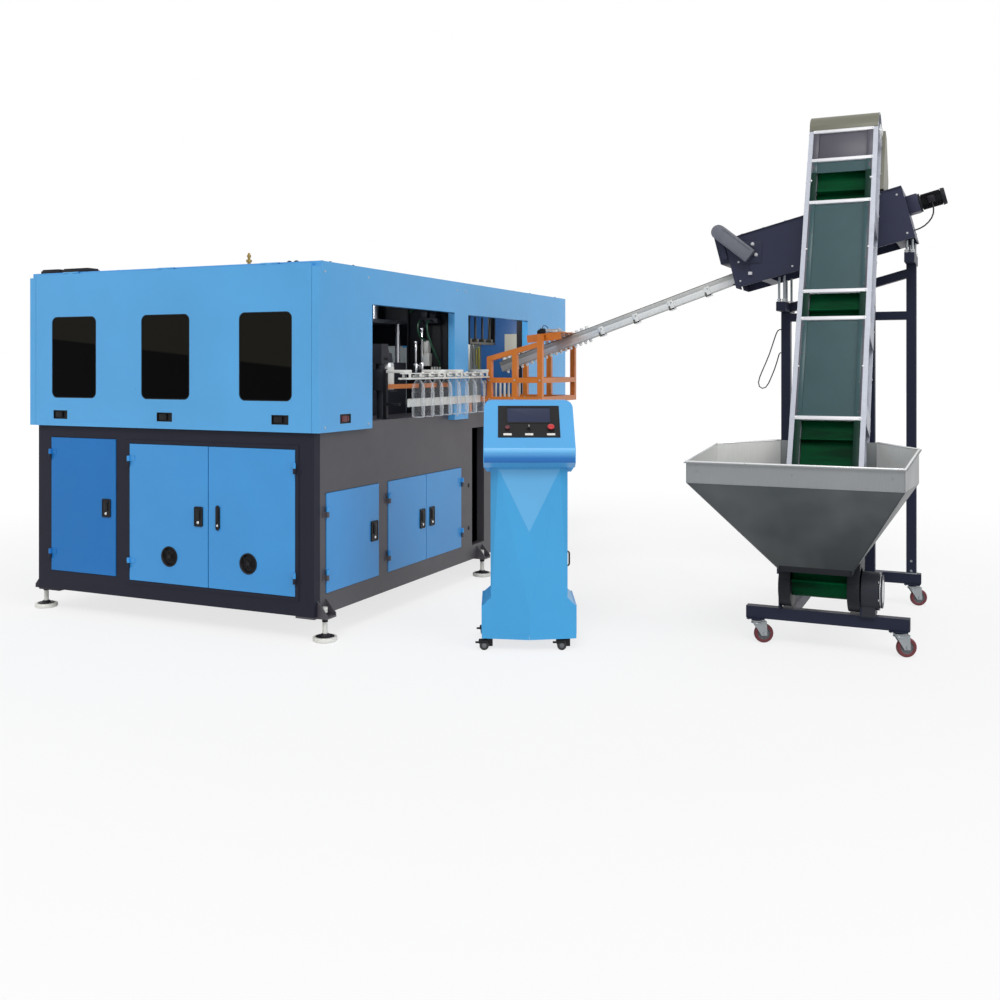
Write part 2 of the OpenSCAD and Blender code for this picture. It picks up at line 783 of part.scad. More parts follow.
module clamp_frame() {
  color(steel) place() {
    difference() {
      union() {
        box([platen_x1 - platen_t, platen_y0, bed_top], [platen_x1, platen_y1, platen_top]);
        box([platen_x0, platen_y0, bed_top], [platen_x0 + platen_t, platen_y1, platen_top]);
        box([fixed_mould_x, platen_y0 + 30, bed_top + 60], [platen_x1 - platen_t, platen_y1 - 30, tie_zs[1] - tie_r - 6]);
        translate([0, platen_mid, platen_mid_z]) rod_x(platen_x0 - 260, platen_x0, 90);
      }
      for (y = cavity_ys) translate([fixed_mould_x, y, 0]) rod_z(bed_top + 80, platen_top, bottle_r - 8);
      translate([0, platen_mid, platen_mid_z]) rod_x(platen_x0 - 245, platen_x0 + platen_t + eps, ram_r + running_gap);
    }
    for (y = tie_ys, z = tie_zs) translate([0, y, z]) rod_x(platen_x0 + platen_t, platen_x1 - platen_t, tie_r);
    translate([filter_x, filter_y, 0]) {
      rod_z(bed_top, 1435, 24);
      rod_z(1435, 1577, filter_r);
      rod_z(1577, 1610, 30);
      box([-35, -45, 1610], [35, 45, 1740]);
    }
  }
}

filter_x = -155;
filter_y = 945;
filter_r = 48;

module moving_platen() {
  color(steel) place() {
    difference() {
      union() {
        box([moving_x, platen_y0, bed_top + 10], [moving_x + platen_t, platen_y1, platen_top]);
        box([moving_x + platen_t, platen_y0 + 30, bed_top + 60],
          [moving_x + platen_t + mould_t, platen_y1 - 30, tie_zs[1] - tie_r - 6]);
        translate([0, platen_mid, platen_mid_z]) rod_x(platen_x0 - 240, moving_x, ram_r);
      }
      for (y = cavity_ys)
        translate([moving_x + platen_t + mould_t, y, 0]) rod_z(bed_top + 80, platen_top, bottle_r - 8);
      for (y = tie_ys, z = tie_zs)
        translate([0, y, z]) rod_x(moving_x - eps, moving_x + platen_t + mould_t + eps, tie_r + running_gap);
    }
  }
}

stretch_x = fixed_mould_x - mould_stroke / 2;
stretch_y0 = platen_y0 + 30;
stretch_y1 = platen_y1 - 30;

module stretch_unit() {
  color(steel) place() {
    difference() {
      box([platen_x1 - platen_t - 460, stretch_y0, stretch_z], [platen_x1, stretch_y1, stretch_z + stretch_t]);
      for (y = cavity_ys) translate([stretch_x, y, 0]) rod_z(stretch_z - eps, stretch_z + stretch_t + eps, rod_r + running_gap);
    }
    for (y = [stretch_y0 + 40, stretch_y1 - 40])
      translate([platen_x1 - platen_t / 2, y, 0]) rod_z(platen_top, stretch_z, column_r);
    for (y = cavity_ys) translate([stretch_x + 70, y, 0]) rod_z(stretch_z + stretch_t, roof_z - tube - 30, 28);
  }
}

module stretch_rods() {
  color("#c9ccd0") place() {
    for (y = cavity_ys) translate([stretch_x, y, 0]) rod_z(platen_top + 60, stretch_z + 150, rod_r);
    box([stretch_x - 30, stretch_y0 + 20, stretch_z + 150], [stretch_x + 30, stretch_y1 - 20, stretch_z + 175]);
  }
}

// Heating tunnel: two lamp walls with the preforms' way between them, and an exhaust hood
oven_x0 = base_l + 298;
oven_x1 = oven_x0 + 600;
oven_y0 = far_y0 + 105;
oven_y1 = cab_l - 395;
oven_slot = bed_top + 150;
oven_top = bed_top + 510;

module oven_unit() {
  color("#8d8f88") place() {
    difference() {
      box([oven_x0, oven_y0, bed_top], [oven_x1, oven_y1, oven_top]);
      box([oven_x0 + 150, oven_y0 - eps, oven_slot], [oven_x1 - 150, oven_y1 + eps, oven_top + eps]);
    }
    for (x = [oven_x0 + 160, oven_x1 - 160], z = [oven_slot + 50:60:oven_slot + 300])
      translate([x, 0, z]) rod_y(oven_y0 + 60, oven_y1 - 60, 8);
    for (x = [oven_x0 + 150, oven_x1 - 170], y = [oven_y0 + 40, oven_y1 - 60])
      box([x, y, oven_slot], [x + 20, y + 20, oven_top - 20]);
    box([oven_x0 + 100, oven_y0 + 100, oven_top], [oven_x1 - 100, oven_y1 - 100, oven_top + 40]);
  }
}

// Mounting plate of the controls behind the front doors, with rails and modules
module electrical_panel() {
  color("#d9d6c4") place() translate([pair_x0 + 23, 400, 0]) {
    box([0, 0, skirt_z + wall_t / 2], [980, 6, pair_z1 - 32]);
    for (z = [skirt_z + 234:180:skirt_z + 774]) {
      box([40, -8, z], [940, 0, z + 35]);
      for (i = [0:5]) box([60 + i * 155, -75, z - 25], [150 + i * 155 + 15 * (i % 3), -8, z + 70]);
    }
  }
}

// Compressed air receiver behind the double side doors
module air_receiver() {
  half = (side_pair_y1 - side_pair_y0 - 263) / 2;
  color("#3f6f9f") place() translate([base_r - 470, side_pair_y0 + 140 + half, 560]) {
    rod_y(-half, half, 170);
    for (y = [-half, half]) translate([0, y, 0]) sphere(170);
    for (y = [80 - half, half - 120]) box([-90, y, skirt_z + wall_t / 2 - 560], [90, y + 10, -130]);
    rod_z(150, 240, 22);
  }
}

// Bottle outfeed

bottle_ys = [for (i = [0:bottle_count - 1]) bottle_y0 + i * cavity_pitch];
guide_y0 = bottle_y0 - 215;
guide_y1 = bottle_ys[bottle_count - 1] + 124;
guide_side = neck_r + 10;
waist_x = bottle_x - bottle_r - 6;

module outfeed_rail() {
  color("#e8e8e6") place() {
    for (s = [-1, 1])
      box([bottle_x + s * guide_side - 8, guide_y0, neck_z - 12], [bottle_x + s * guide_side + 8, guide_y1, neck_z - seat_gap]);
    for (y = [guide_y0 + 60, bottle_y0 + 2.5 * cavity_pitch, bottle_y0 + 4.5 * cavity_pitch, guide_y1 - 30]) {
      box([base_r - 39, y - 12, bed_top], [base_r - 15, y + 12, neck_z + 50]);
      box([base_r - 20, y - 12, neck_z + 30], [bottle_x + guide_side + 8, y + 12, neck_z + 50]);
      for (s = [-1, 1])
        box([bottle_x + s * guide_side - 4, y - 12, neck_z - seat_gap - 1], [bottle_x + s * guide_side + 4, y + 12, neck_z + 31]);
      box([base_r - 20, y - 8, 1340], [waist_x, y + 8, 1356]);
    }
    box([waist_x, bottle_y0 - 60, 1327], [waist_x + 4, guide_y1, 1381]);
  }
}

// One bottle hanging from its neck ring at z = 0
module bottle() {
  rotate_extrude() polygon([[0, -bottle_h], [bottle_r * 0.7, -bottle_h], [bottle_r, -bottle_h + 14],
    [bottle_r, -95], [bottle_r * 0.93, -90], [bottle_r, -85], [bottle_r * 0.8, -45], [neck_r - 1, -14],
    [neck_r - 1, 0], [ring_r, 0], [ring_r, ring_t], [neck_r, ring_t], [neck_r, 20], [0, 20]]);
}

// One preform hanging from its neck ring at z = 0
module preform() {
  rotate_extrude() polygon([[0, -preform_h], [preform_r * 0.7, -preform_h + 3], [preform_r, -preform_h + 12],
    [preform_r, 0], [ring_r, 0], [ring_r, ring_t], [preform_r, ring_t], [preform_r, 20], [0, 20]]);
}

module bottles_and_preforms() {
  color(clear) place() {
    for (y = bottle_ys) translate([bottle_x, y, neck_z]) bottle();
    on_rail() for (i = [0:preform_count - 1]) translate([40 + i * preform_pitch, 0, seat_gap]) preform();
  }
}

// Infeed cage and rail

module on_rail() { translate([rail_x, rail_y, rail_z]) rotate([0, -rail_slope, 0]) children(); }

rail_slot = preform_r + 2;

module preform_rail() {
  color("#d4d7d9") place() on_rail() {
    for (s = [0, 1]) mirror([0, s, 0]) box([0, rail_slot, -rail_h], [rail_l, rail_slot + rail_t, 0]);
    for (share = [0.43, 0.573, 0.716, 0.859]) let (x = share * rail_l) difference() {
      box([x, -rail_slot - rail_t - 8, -rail_h - 14], [x + 40, rail_slot + rail_t + 8, -22]);
      box([x - eps, -rail_slot - eps, -rail_h - eps], [x + 41, rail_slot + eps, eps]);
      for (s = [0, 1]) mirror([0, s, 0]) box([x - eps, rail_slot, -rail_h], [x + 41, rail_slot + rail_t, 0]);
    }
  }
}

module cage_post(x, y, top) {
  box([x - cage_tube / 2, y - cage_tube / 2, cage_bottom - cage_tube / 2], [x + cage_tube / 2, y + cage_tube / 2, top]);
}

cover_slope = 5.2;

// Height of the sloped top rail's middle at x
function cage_top(x) = cage_low + (cage_high - cage_low) * (x - cage_x0) / (cage_x2 - cage_x0);

module guard_cage() {
  h = cage_tube / 2;
  color(orange) place() {
    for (y = [cage_y0, cage_y1]) {
      for (z = [cage_bottom, cage_middle])
        box([z == cage_bottom ? -60 : cage_x0, y - h, z - h], [cage_x2, y + h, z + h]);
      box([-110, y - h, bed_top], [-60, y + h, cage_bottom + h]);
      for (x = [cage_x0, cage_x1]) cage_post(x, y, cage_top(x));
      cage_post(cage_x2, y, cage_tall);
      translate([0, y, 0]) along_y(-h, h) polygon([[cage_x0 - h, cage_top(cage_x0) - h],
        [cage_x2, cage_top(cage_x2) - h], [cage_x2, cage_top(cage_x2) + h], [cage_x0 - h, cage_top(cage_x0) + h]]);
    }
    for (z = [cage_bottom, cage_middle]) box([cage_x2 - h, cage_y0, z - h], [cage_x2 + h, cage_y1, z + h]);
    box([cage_x2 - h, cage_y0, cage_tall - 8], [cage_x2 + h, cage_y1, cage_tall]);
    translate([cage_x2 - h, cage_y0 + 60, cage_tall - 3]) rotate([0, -cover_slope, 0]) {
      box([-116, 0, 0], [152, 560, 6]);
      box([-116, 0, -50], [152, 6, 0]);
    }
    box([filter_x + filter_r + seat_gap, filter_y - 20, 1445], [-90, near_y1, 1475]);
    box([-90, near_y1 - 20, 1445], [-side_depth, near_y1, 1475]);
  }
}

// Unscrambler

module on_sorter() { translate([sorter_x, sorter_y, sorter_z]) rotate([0, -sorter_slope, 0]) children(); }

roller_ys = [sorter_w / 2 - roller_side, sorter_w / 2 + roller_side];

module unscrambler_housing() {
  color(slate) place() {
    on_sorter() difference() {
      union() {
        difference() {
          box([0, 0, 0], [sorter_l, sorter_w, sorter_h]);
          box([sorter_t, sorter_t, -eps], [sorter_l - sorter_t, sorter_w - sorter_t, sorter_h + eps]);
        }
        box([110, -8, sorter_h - 5], [sorter_l, 0, sorter_h]);
        box([0, sorter_w, sorter_h - 5], [sorter_l, sorter_w + 14, sorter_h]);
        for (x = [180, sorter_l - 120]) box([x, 0, 0], [x + 60, sorter_w, 6]);
      }
      for (y = roller_ys) translate([0, y, roller_z]) rod_x(-eps, sorter_l + eps, journal_r + running_gap);
      box([-eps, sorter_w / 2 - 34, -10], [sorter_t + eps, sorter_w / 2 + 34, sorter_h - 20]);
    }
    on_rail() difference() {
      box([rail_l - 62, -rail_slot - rail_t - 40, -rail_h - 8], [rail_l - 12, rail_slot + rail_t + 40, -rail_h]);
      box([rail_l - 63, -rail_slot, -rail_h - 9], [rail_l - 11, rail_slot, -rail_h + 1]);
    }
  }
}

// Ribbed roller that turns between the housing's end plates
module sorting_roller(y) {
  on_sorter() translate([0, y, roller_z]) {
    rod_x(seat_gap, sorter_l - seat_gap, journal_r);
    rod_x(12, sorter_l - 12, roller_r);
  }
}

module sorting_roller_front() { color("#b9bcc0") place() sorting_roller(roller_ys[0]); }
module sorting_roller_back() { color("#b9bcc0") place() sorting_roller(roller_ys[1]); }

module unscrambler_drives() {
  color(dark) place() on_sorter() {
    translate([154, -66, 179]) rotate([0, -126.6, 0]) translate([0, 0, -50])
      cube([327, 66 - seat_gap, 100]);
    box([-66, 20, 190], [-seat_gap, sorter_w - 20, 400]);
    box([sorter_l, sorter_w / 2 - 62, roller_z - 58], [sorter_l + 74, sorter_w / 2 + 62, roller_z + 62]);
    translate([0, sorter_w / 2, roller_z]) {
      rod_x(sorter_l + 74, sorter_l + 232, 52);
      rod_x(sorter_l + 218, sorter_l + 240, 57);
    }
    translate([sorter_l + 150, sorter_w / 2 - 66, roller_z - 4]) cube([44, 40, 40], center = true);
  }
}

// Height of the unscrambler's lower face at x
function sorter_low(x) = sorter_z + (x - sorter_x) * tan(sorter_slope);

post_tops = [post_top0, post_top1];
post_xs = [post_x0, post_x1];

// Paired studs between the stand's saddles and the unscrambler
module support_studs() {
  color("#c9ccd0") place()
    for (i = [0, 1], dx = [14, 48], y = [sorter_y + 60, sorter_y + sorter_w - 60])
      translate([post_xs[i] + dx, y, 0]) difference() {
        rod_z(post_tops[i] + leg, sorter_low(post_xs[i] + dx) + 30, 8);
        translate([-post_xs[i] - dx, -y, 0]) on_sorter() box([-50, -50, -seat_gap], [sorter_l + 50, sorter_w + 50, 200]);
      }
}

// Elevator

module on_elevator() { translate([elev_x, tail_y, tail_z]) rotate([elev_angle, 0, 0]) children(); }

inner_half = elev_half - side_w;
bar_us = [for (share = [0.3214, 0.5363, 0.598, 0.808, 0.9124, 0.9847]) share * elev_l];

module elevator_frame() {
  color(alu) place() on_elevator() {
    for (s = [0, 1]) mirror([s, 0, 0]) {
      difference() {
        union() {
          along_x(inner_half, inner_half + side_t) stadium(side_h, elev_l);
          difference() {
            along_x(inner_half, elev_half) stadium(side_h, elev_l);
            along_x(inner_half - eps, elev_half + eps) stadium(side_h - side_t, elev_l);
          }
          for (u = [0, elev_l]) box([inner_half + side_t, u - 40, -40], [inner_half + side_t + 36, u + 40, 40]);
        }
        for (u = [0, elev_l]) translate([0, u, 0]) rod_x(inner_half - eps, elev_half + eps, shaft_r + running_gap);
      }
    }
    for (u = bar_us) box([-inner_half, u - 11, side_h - bar_t], [inner_half, u + 11, side_h]);
    for (share = [0.166, 0.431, 0.6965, 0.862])
      box([-inner_half, share * elev_l - 15, -20], [inner_half, share * elev_l + 15, 20]);
  }
}

belt_in = drum_r + seat_gap;
belt_half = inner_half - 4;
cleat_count = floor(elev_l / cleat_pitch);

module elevator_belt() {
  color(green) place() on_elevator() {
    difference() {
      along_x(-belt_half, belt_half) stadium(belt_in + belt_t, elev_l);
      along_x(-belt_half - eps, belt_half + eps) stadium(belt_in, elev_l);
    }
    for (i = [0:cleat_count]) {
      box([-belt_half, i * cleat_pitch, belt_in + belt_t - 1], [belt_half, i * cleat_pitch + 5, belt_in + belt_t + cleat_h]);
      box([-belt_half, i * cleat_pitch, -belt_in - belt_t - cleat_h], [belt_half, i * cleat_pitch + 5, -belt_in - belt_t + 1]);
    }
  }
}

// Sheets between the cross bars, 3 mm inside the front of the side frames
module cover(u0, u1) {
  box([seat_gap - inner_half, u0, side_h - 8 - panel_t], [inner_half - seat_gap, u1, side_h - 8]);
}

module cover_panels() {
  color("#5f8088") place() on_elevator() {
    cover(bar_us[0] + 11, bar_us[1] - 11);
    cover(bar_us[2] + 11, bar_us[3] - 11);
    cover(bar_us[4] - 93, bar_us[4] - 11);
  }
}

chute_half = elev_half + 22;
chute_low = 2750;
chute_n = -side_h - seat_gap;

module head_cover() {
  color("#6d6d5f") place() {
    on_elevator() {
      cover(bar_us[4] + 11, bar_us[5] - 11);
      difference() {
        translate([0, elev_l, 0]) rod_x(-elev_half, elev_half, side_h + 4);
        translate([0, elev_l, 0]) rod_x(-elev_half - eps, elev_half + eps, side_h + seat_gap);
        box([-elev_half - eps, elev_l - 200, -200], [elev_half + eps, elev_l, 200]);
        box([-elev_half - eps, elev_l - 200, -200], [elev_half + eps, elev_l + 200, -70]);
      }
    }
    intersection() {
      on_elevator() difference() {
        along_x(-chute_half, chute_half) polygon([[elev_l - 515, chute_n], [elev_l + 85, chute_n],
          [elev_l + 85, -210], [elev_l - 115, -440], [elev_l - 515, -440]]);
        along_x(-chute_half + 4, chute_half - 4) polygon([[elev_l - 615, chute_n - 4], [elev_l + 75, chute_n - 4],
          [elev_l + 81, -210], [elev_l - 117, -436], [elev_l - 615, -436]]);
        box([-inner_half, elev_l - 615, chute_n - 5], [inner_half, elev_l + 75, chute_n + eps]);
      }
      box([elev_x - 300, tail_y, chute_low], [elev_x + 300, tail_y + elev_l, tail_z + elev_l]);
    }
  }
}

module drum(u, end) {
  on_elevator() translate([0, u, 0]) {
    rod_x(-inner_half + 3, inner_half - 3, drum_r);
    rod_x(-elev_half + 18, end, shaft_r);
  }
}

module head_drum() { color(steel) place() drum(elev_l, elev_half - 18); }
module tail_drum() { color(steel) place() drum(0, elev_half + 24); }

// Drive at the tail: gear case with its round cover, standing on the front beam
module drive_cover() {
  color("#4c4f57") place() translate([elev_x, tail_y, tail_z]) difference() {
    union() {
      rod_x(elev_half + 9, elev_half + 98, 104);
      box([elev_half + 9, -70, beam_z + beam_h - tail_z], [elev_half + 80, 70, -60]);
      rod_x(elev_half + 98, elev_half + 116, 92);
    }
    rod_x(elev_half, elev_half + 26, shaft_r + running_gap);
  }
}

// Hopper

hopper_mid = elev_x - 105;
hopper_reach = 1000;
rim_back = hopper_y1 + 150;

// Outline of the hopper's band, seen from above
function band_points(m) = [[hopper_mid - hopper_half + m, hopper_y0 + m], [hopper_mid + hopper_half - m, hopper_y0 + m],
  [hopper_mid + hopper_half + 40 - m, hopper_y1 - m], [elev_x + elev_half + 60, rim_back - m], [elev_x - elev_half - 60, rim_back - m],
  [hopper_mid - hopper_half + 57 + m, hopper_y1 - m]];

module hopper_solid(m) {
  hull() {
    translate([0, 0, rim_z - band_h]) linear_extrude(0.1) polygon(band_points(m));
    translate([elev_x - neck_half + m, neck_y0 + m, neck_low - m]) cube([2 * (neck_half - m), 330, 0.1]);
  }
  translate([0, 0, rim_z - band_h - 0.05]) linear_extrude(band_h + 200) polygon(band_points(m));
}

// Space above the rim, which climbs towards the back
module above_rim(lift) {
  along_x(hopper_mid - hopper_reach, hopper_mid + hopper_reach)
    polygon([[0, rim_z + lift - rim_rise * hopper_y0], [elev_l, rim_z + lift + rim_rise * (elev_l - hopper_y0)],
      [elev_l, elev_l], [0, elev_l]]);
}

module elevator_space(gap) {
  on_elevator() box([-elev_half - gap, -400, -side_h - 600], [elev_half + gap, elev_l, side_h + gap]);
}

module hopper() {
  color("#9a9c9e") place() difference() {
    union() {
      hopper_solid(0);
      difference() {
        translate([0, 0, rim_z - 150]) linear_extrude(500) polygon(band_points(-rim_w));
        above_rim(-hopper_t);
        translate([0, 0, -hopper_t]) difference() {
          box([hopper_mid - hopper_reach, 0, 0], [hopper_mid + hopper_reach, elev_l, elev_l]);
          above_rim(-hopper_t);
        }
      }
    }
    hopper_solid(hopper_t);
    above_rim(0);
    elevator_space(seat_gap);
  }
}

// Feeder stand

castors = [[2262, 1100], [3035, 1100], [2215, 2500], [3020, 2500]];
castor_turn = 24;
leg_y = 1900;
beam_top = beam_z + beam_h;

module feeder_stand() {
  color(slate) place() {
    box([beam_x0, beam_y - 30, beam_z], [beam_x1, beam_y + 30, beam_top]);
    box([2136, post_y - 30, beam_z], [3074, post_y + 30, beam_top]);
    for (x = [elev_x - elev_half, elev_x + elev_half - side_w])
      box([x, beam_y + 30, beam_z], [x + side_w, post_y - 30, beam_top]);
    for (i = [0, 1]) {
      box([post_xs[i], post_y - leg / 2, beam_top], [post_xs[i] + leg, post_y + leg / 2, post_tops[i]]);
      box([post_xs[i], sorter_y + 20, post_tops[i]], [post_xs[i] + leg, sorter_y + sorter_w - 10, post_tops[i] + leg]);
    }
    box([post_x0 + leg, post_y - leg / 2, post_top0 - 66], [post_x1, post_y + leg / 2, post_top0 - 10]);
    along_y(post_y - leg / 2, post_y + leg / 2) polygon([[post_x0 + leg, post_top0], [post_x1, post_top1 - 90],
      [post_x1, post_top1 - 30], [post_x0 + leg, post_top0 + leg]]);
    for (s = [0, 1]) difference() {
      box([elev_x + (s == 0 ? -elev_half : elev_half - side_w), leg_y, beam_top],
        [elev_x + (s == 0 ? -elev_half + side_w : elev_half), leg_y + side_w, 2100]);
      on_elevator() box([-elev_half - 10, -400, -side_h - seat_gap], [elev_half + 10, elev_l + 400, 900]);
    }
    box([elev_x - elev_half + side_w, leg_y, 1200], [elev_x + elev_half - side_w, leg_y + side_w, 1260]);
    for (s = [-1, 1]) translate([elev_x + s * (elev_half + 4), 0, 0])
      box([-4, beam_y - 60, beam_top], [4, beam_y + 29, beam_top + 100]);
    for (c = castors) translate([c[0], c[1], 0]) {
      box([-50, -43, beam_z - 6], [50, 43, beam_z]);
      rod_z(wheel_r + 45, beam_z - 6, axle_r);
      rod_z(beam_z - 16, beam_z - 6, 26);
    }
  }
}

fork_top = beam_z - 16 - seat_gap;

module castor_fork(c) {
  color("#8b9094") place() translate([c[0], c[1], 0]) rotate(castor_turn) {
    difference() {
      union() {
        rod_z(fork_top - 8, fork_top, 30);
        box([-26, -wheel_w / 2 - 8, fork_top - 12], [trail + 14, wheel_w / 2 + 8, fork_top - 6]);
      }
      rod_z(0, fork_top + eps, axle_r + running_gap);
    }
    for (s = [0, 1]) mirror([0, s, 0]) along_y(wheel_w / 2 + 2, wheel_w / 2 + 6)
      polygon([[-26, fork_top - 8], [trail + 14, fork_top - 8], [trail + 16, wheel_r - 12], [trail - 16, wheel_r - 12]]);
    translate([trail, 0, wheel_r]) rod_y(-wheel_w / 2 - 9, wheel_w / 2 + 9, axle_r);
  }
}

module castor_wheel(c) {
  color("#7c2a30") place() translate([c[0], c[1], 0]) rotate(castor_turn) translate([trail, 0, wheel_r]) rotate([90, 0, 0])
    rotate_extrude() polygon([[axle_r + running_gap, -wheel_w / 2], [wheel_r - 16, -wheel_w / 2], [wheel_r - 16, -wheel_w / 2 + 4],
      [wheel_r - 5, -wheel_w / 2 + 1], [wheel_r, -wheel_w / 2 + 7], [wheel_r, wheel_w / 2 - 7], [wheel_r - 5, wheel_w / 2 - 1],
      [wheel_r - 16, wheel_w / 2 - 4], [wheel_r - 16, wheel_w / 2], [axle_r + running_gap, wheel_w / 2]]);
}

module castor_fork_fl() { castor_fork(castors[0]); }
module castor_fork_fr() { castor_fork(castors[1]); }
module castor_fork_bl() { castor_fork(castors[2]); }
module castor_fork_br() { castor_fork(castors[3]); }
module castor_wheel_fl() { castor_wheel(castors[0]); }
module castor_wheel_fr() { castor_wheel(castors[1]); }
module castor_wheel_bl() { castor_wheel(castors[2]); }
module castor_wheel_br() { castor_wheel(castors[3]); }

// Console

module on_console() { translate([console_x, console_y, 0]) rotate(console_turn) children(); }

column_y = 15;
console_wheel = 26;
console_trail = 34;
foot_back = foot_d - 30;

// Pentagon outline of the column with its front ridge, at height z
module column_slice(z, ridge_half) {
  translate([0, 0, z]) linear_extrude(1) polygon([[-column_w / 2, column_y], [-ridge_half, column_y - 34],
    [ridge_half, column_y - 34], [column_w / 2, column_y], [column_w / 2, column_y + column_d], [-column_w / 2, column_y + column_d]]);
}

// Outline of the foot at height z; its front carries the column's two facets on to its own width
module foot_slice(z, half) {
  front = column_y + (half - column_w / 2) * 34 / (column_w / 2);
  translate([0, 0, z]) linear_extrude(1) polygon([[-half, front], [-2, column_y - 34], [2, column_y - 34], [half, front],
    [half, foot_back], [-half, foot_back]]);
}

// Twin-wheel castor that trails towards the console's left side
module console_castor(x, y) {
  translate([x, y, 0]) {
    rod_z(58, foot_z, 9);
    box([-26, -20, foot_z - 4], [26, 20, foot_z]);
    difference() {
      translate([-console_trail, 0, console_wheel]) rod_y(-21, 21, console_wheel);
      translate([-console_trail, 0, console_wheel]) rod_y(-5, 5, console_wheel + eps);
    }
    box([-console_trail, -5, console_wheel - 6], [10, 5, 62]);
  }
}

module console_body() {
  color(blue) place() on_console() {
    hull() {
      foot_slice(foot_z, foot_w / 2);
      foot_slice(foot_top - 1, foot_w / 2);
    }
    hull() {
      foot_slice(foot_top - 10, foot_w / 2);
      column_slice(foot_top + 44, 2);
    }
    hull() {
      column_slice(foot_top - 20, 2);
      column_slice(facet_tip, 2);
      column_slice(facet_top, column_w * 0.4);
      column_slice(facet_top + 30, column_w * 0.4);
    }
    for (x = [-218, 218], y = [42, foot_back - 50]) console_castor(x, y);
  }
}

head_front = panel_y - 10;
head_back = column_y + column_d + 10;
panel_end = [panel_y + face_l * cos(panel_slope), panel_z + face_l * sin(panel_slope)];

// Side profile of the head, as depth and height
module head_profile() {
  polygon([[head_front, panel_z - 78], [head_front, panel_z - 26], [head_front + 3, panel_z - 10], [panel_y, panel_z], panel_end,
    [panel_end[0] + 16, head_top], [head_back - 30, head_top], [head_back, head_top - 40],
    [head_back, cheek_z], [column_y + 30, cheek_z], [column_y, cheek_z + 30], [column_y - 40, cheek_z + 30]]);
}

module console_head() {
  color(blue) place() on_console() difference() {
    intersection() {
      along_x(-head_w / 2, head_w / 2) head_profile();
      along_y(-300, 500) translate([-head_w / 2, cheek_z - 100]) rounded(head_w, head_top - cheek_z + 100, head_r);
    }
    for (s = [0, 1]) mirror([s, 0, 0]) along_y(-300, 500)
      polygon([[head_w / 2 - 18, cheek_z - eps], [head_w / 2 + eps, cheek_z - eps], [head_w / 2 + eps, cheek_z + 34]]);
    translate([0, 0, -5]) hull() {
      column_slice(cheek_z - 10, column_w * 0.4);
      column_slice(facet_top + 35 + seat_gap, column_w * 0.4);
    }
    on_panel() box([-panel_w / 2 - seat_gap, panel_u - seat_gap, -4], [panel_w / 2 + seat_gap, panel_u + panel_l + seat_gap, 10]);
    for (x = button_xs) on_panel() translate([x, button_u, 0]) rod_z(-30, 0, button_r + 1);
  }
}

button_xs = [-121, 0, 123];
button_r = 11;

// Frame of the sloped panel: x across, y up the slope, z out of the face
module on_panel() { translate([0, panel_y, panel_z]) rotate([panel_slope, 0, 0]) children(); }

module control_panel() {
  color("#17181c") place() on_console() on_panel() difference() {
    box([-panel_w / 2, panel_u, -4 + seat_gap], [panel_w / 2, panel_u + panel_l, 2]);
    box([-123, panel_u + 122, 0.5], [123, panel_u + 240, 3]);
    for (x = button_xs) translate([x, button_u, 0]) rod_z(-10, 5, button_r + running_gap);
  }
}

// Stem of a button through the panel, with its head on the outside
module button(x, head_r, head_h, lift) {
  place() on_console() on_panel() translate([x, button_u, 0]) {
    rod_z(-20, 2 + lift, button_r);
    rod_z(2 + lift, 2 + lift + head_h, head_r);
  }
}

module push_button() { color("#8e1d24") button(button_xs[0], 14, 6, 6); }
module selector_switch() {
  color("#111111") button(button_xs[1], 14, 5, seat_gap);
  color("#111111") place() on_console() on_panel() translate([button_xs[1], button_u, 0])
    box([-4, -13, 7], [4, 13, 18]);
}
module stop_button() { color("#c92a2f") button(button_xs[2], 20, 12, 8); }

// Cables: points chosen by hand along each route, measured from the near corner and, for the motor's, in the unscrambler
function in_sorter(v) = [sorter_x + v[0] * cos(sorter_slope) - v[2] * sin(sorter_slope), sorter_y + v[1],
  sorter_z + v[0] * sin(sorter_slope) + v[2] * cos(sorter_slope)];
motor_route = [for (v = [[150, 154, 211], [150, 154, 191], [148, 155, 165], [140, 158, 138], [122, 161, 112],
  [98, 164, 92], [68, 167, 76], [38, 169, 68], [16, 170, 66], [0, 170, 66]]) in_sorter(v + [sorter_l, 0, 0])];
stand_route = [for (v = [[0, 1850], [-16, 1850], [-29, 1841], [-40, 1818], [-50, 1790],
  [-66, 1740], [-86, 1680], [-110, 1620], [-136, 1560], [-154, 1515], [-162, 1480],
  [-156, 1452], [-136, 1438], [-112, 1446], [-92, 1474], [-72, 1520], [-52, 1570],
  [-36, 1618], [-27, 1650], [-20, 1676], [-11, 1688], [0, 1688]]) [post_x0 + v[0], post_y, v[1]]];

function unit(v) = v / norm(v);
// Direction of a route at its point i
function way(p, i) = unit(p[min(i + 1, len(p) - 1)] - p[max(i - 1, 0)]);
function side_of(d) = unit(cross(d, abs(d[1]) < 0.9 ? [0, 1, 0] : [1, 0, 0]));

// Round tube swept along a route
module tube_along(p, r, n) {
  rings = [for (i = [0:len(p) - 1]) let (d = way(p, i), a = side_of(d), b = cross(d, a))
    for (k = [0:n - 1]) p[i] + r * (cos(360 * k / n) * a + sin(360 * k / n) * b)];
  last = (len(p) - 1) * n;
  polyhedron(rings, concat([[for (k = [0:n - 1]) n - 1 - k]],
    [for (i = [0:len(p) - 2], k = [0:n - 1]) [i * n + k, i * n + (k + 1) % n, (i + 1) * n + (k + 1) % n, (i + 1) * n + k]],
    [[for (k = [0:n - 1]) last + k]]));
}

module motor_cable() { color(dark) place() tube_along(motor_route, 5, 8); }
module stand_cable() { color(dark) place() tube_along(stand_route, 4, 8); }

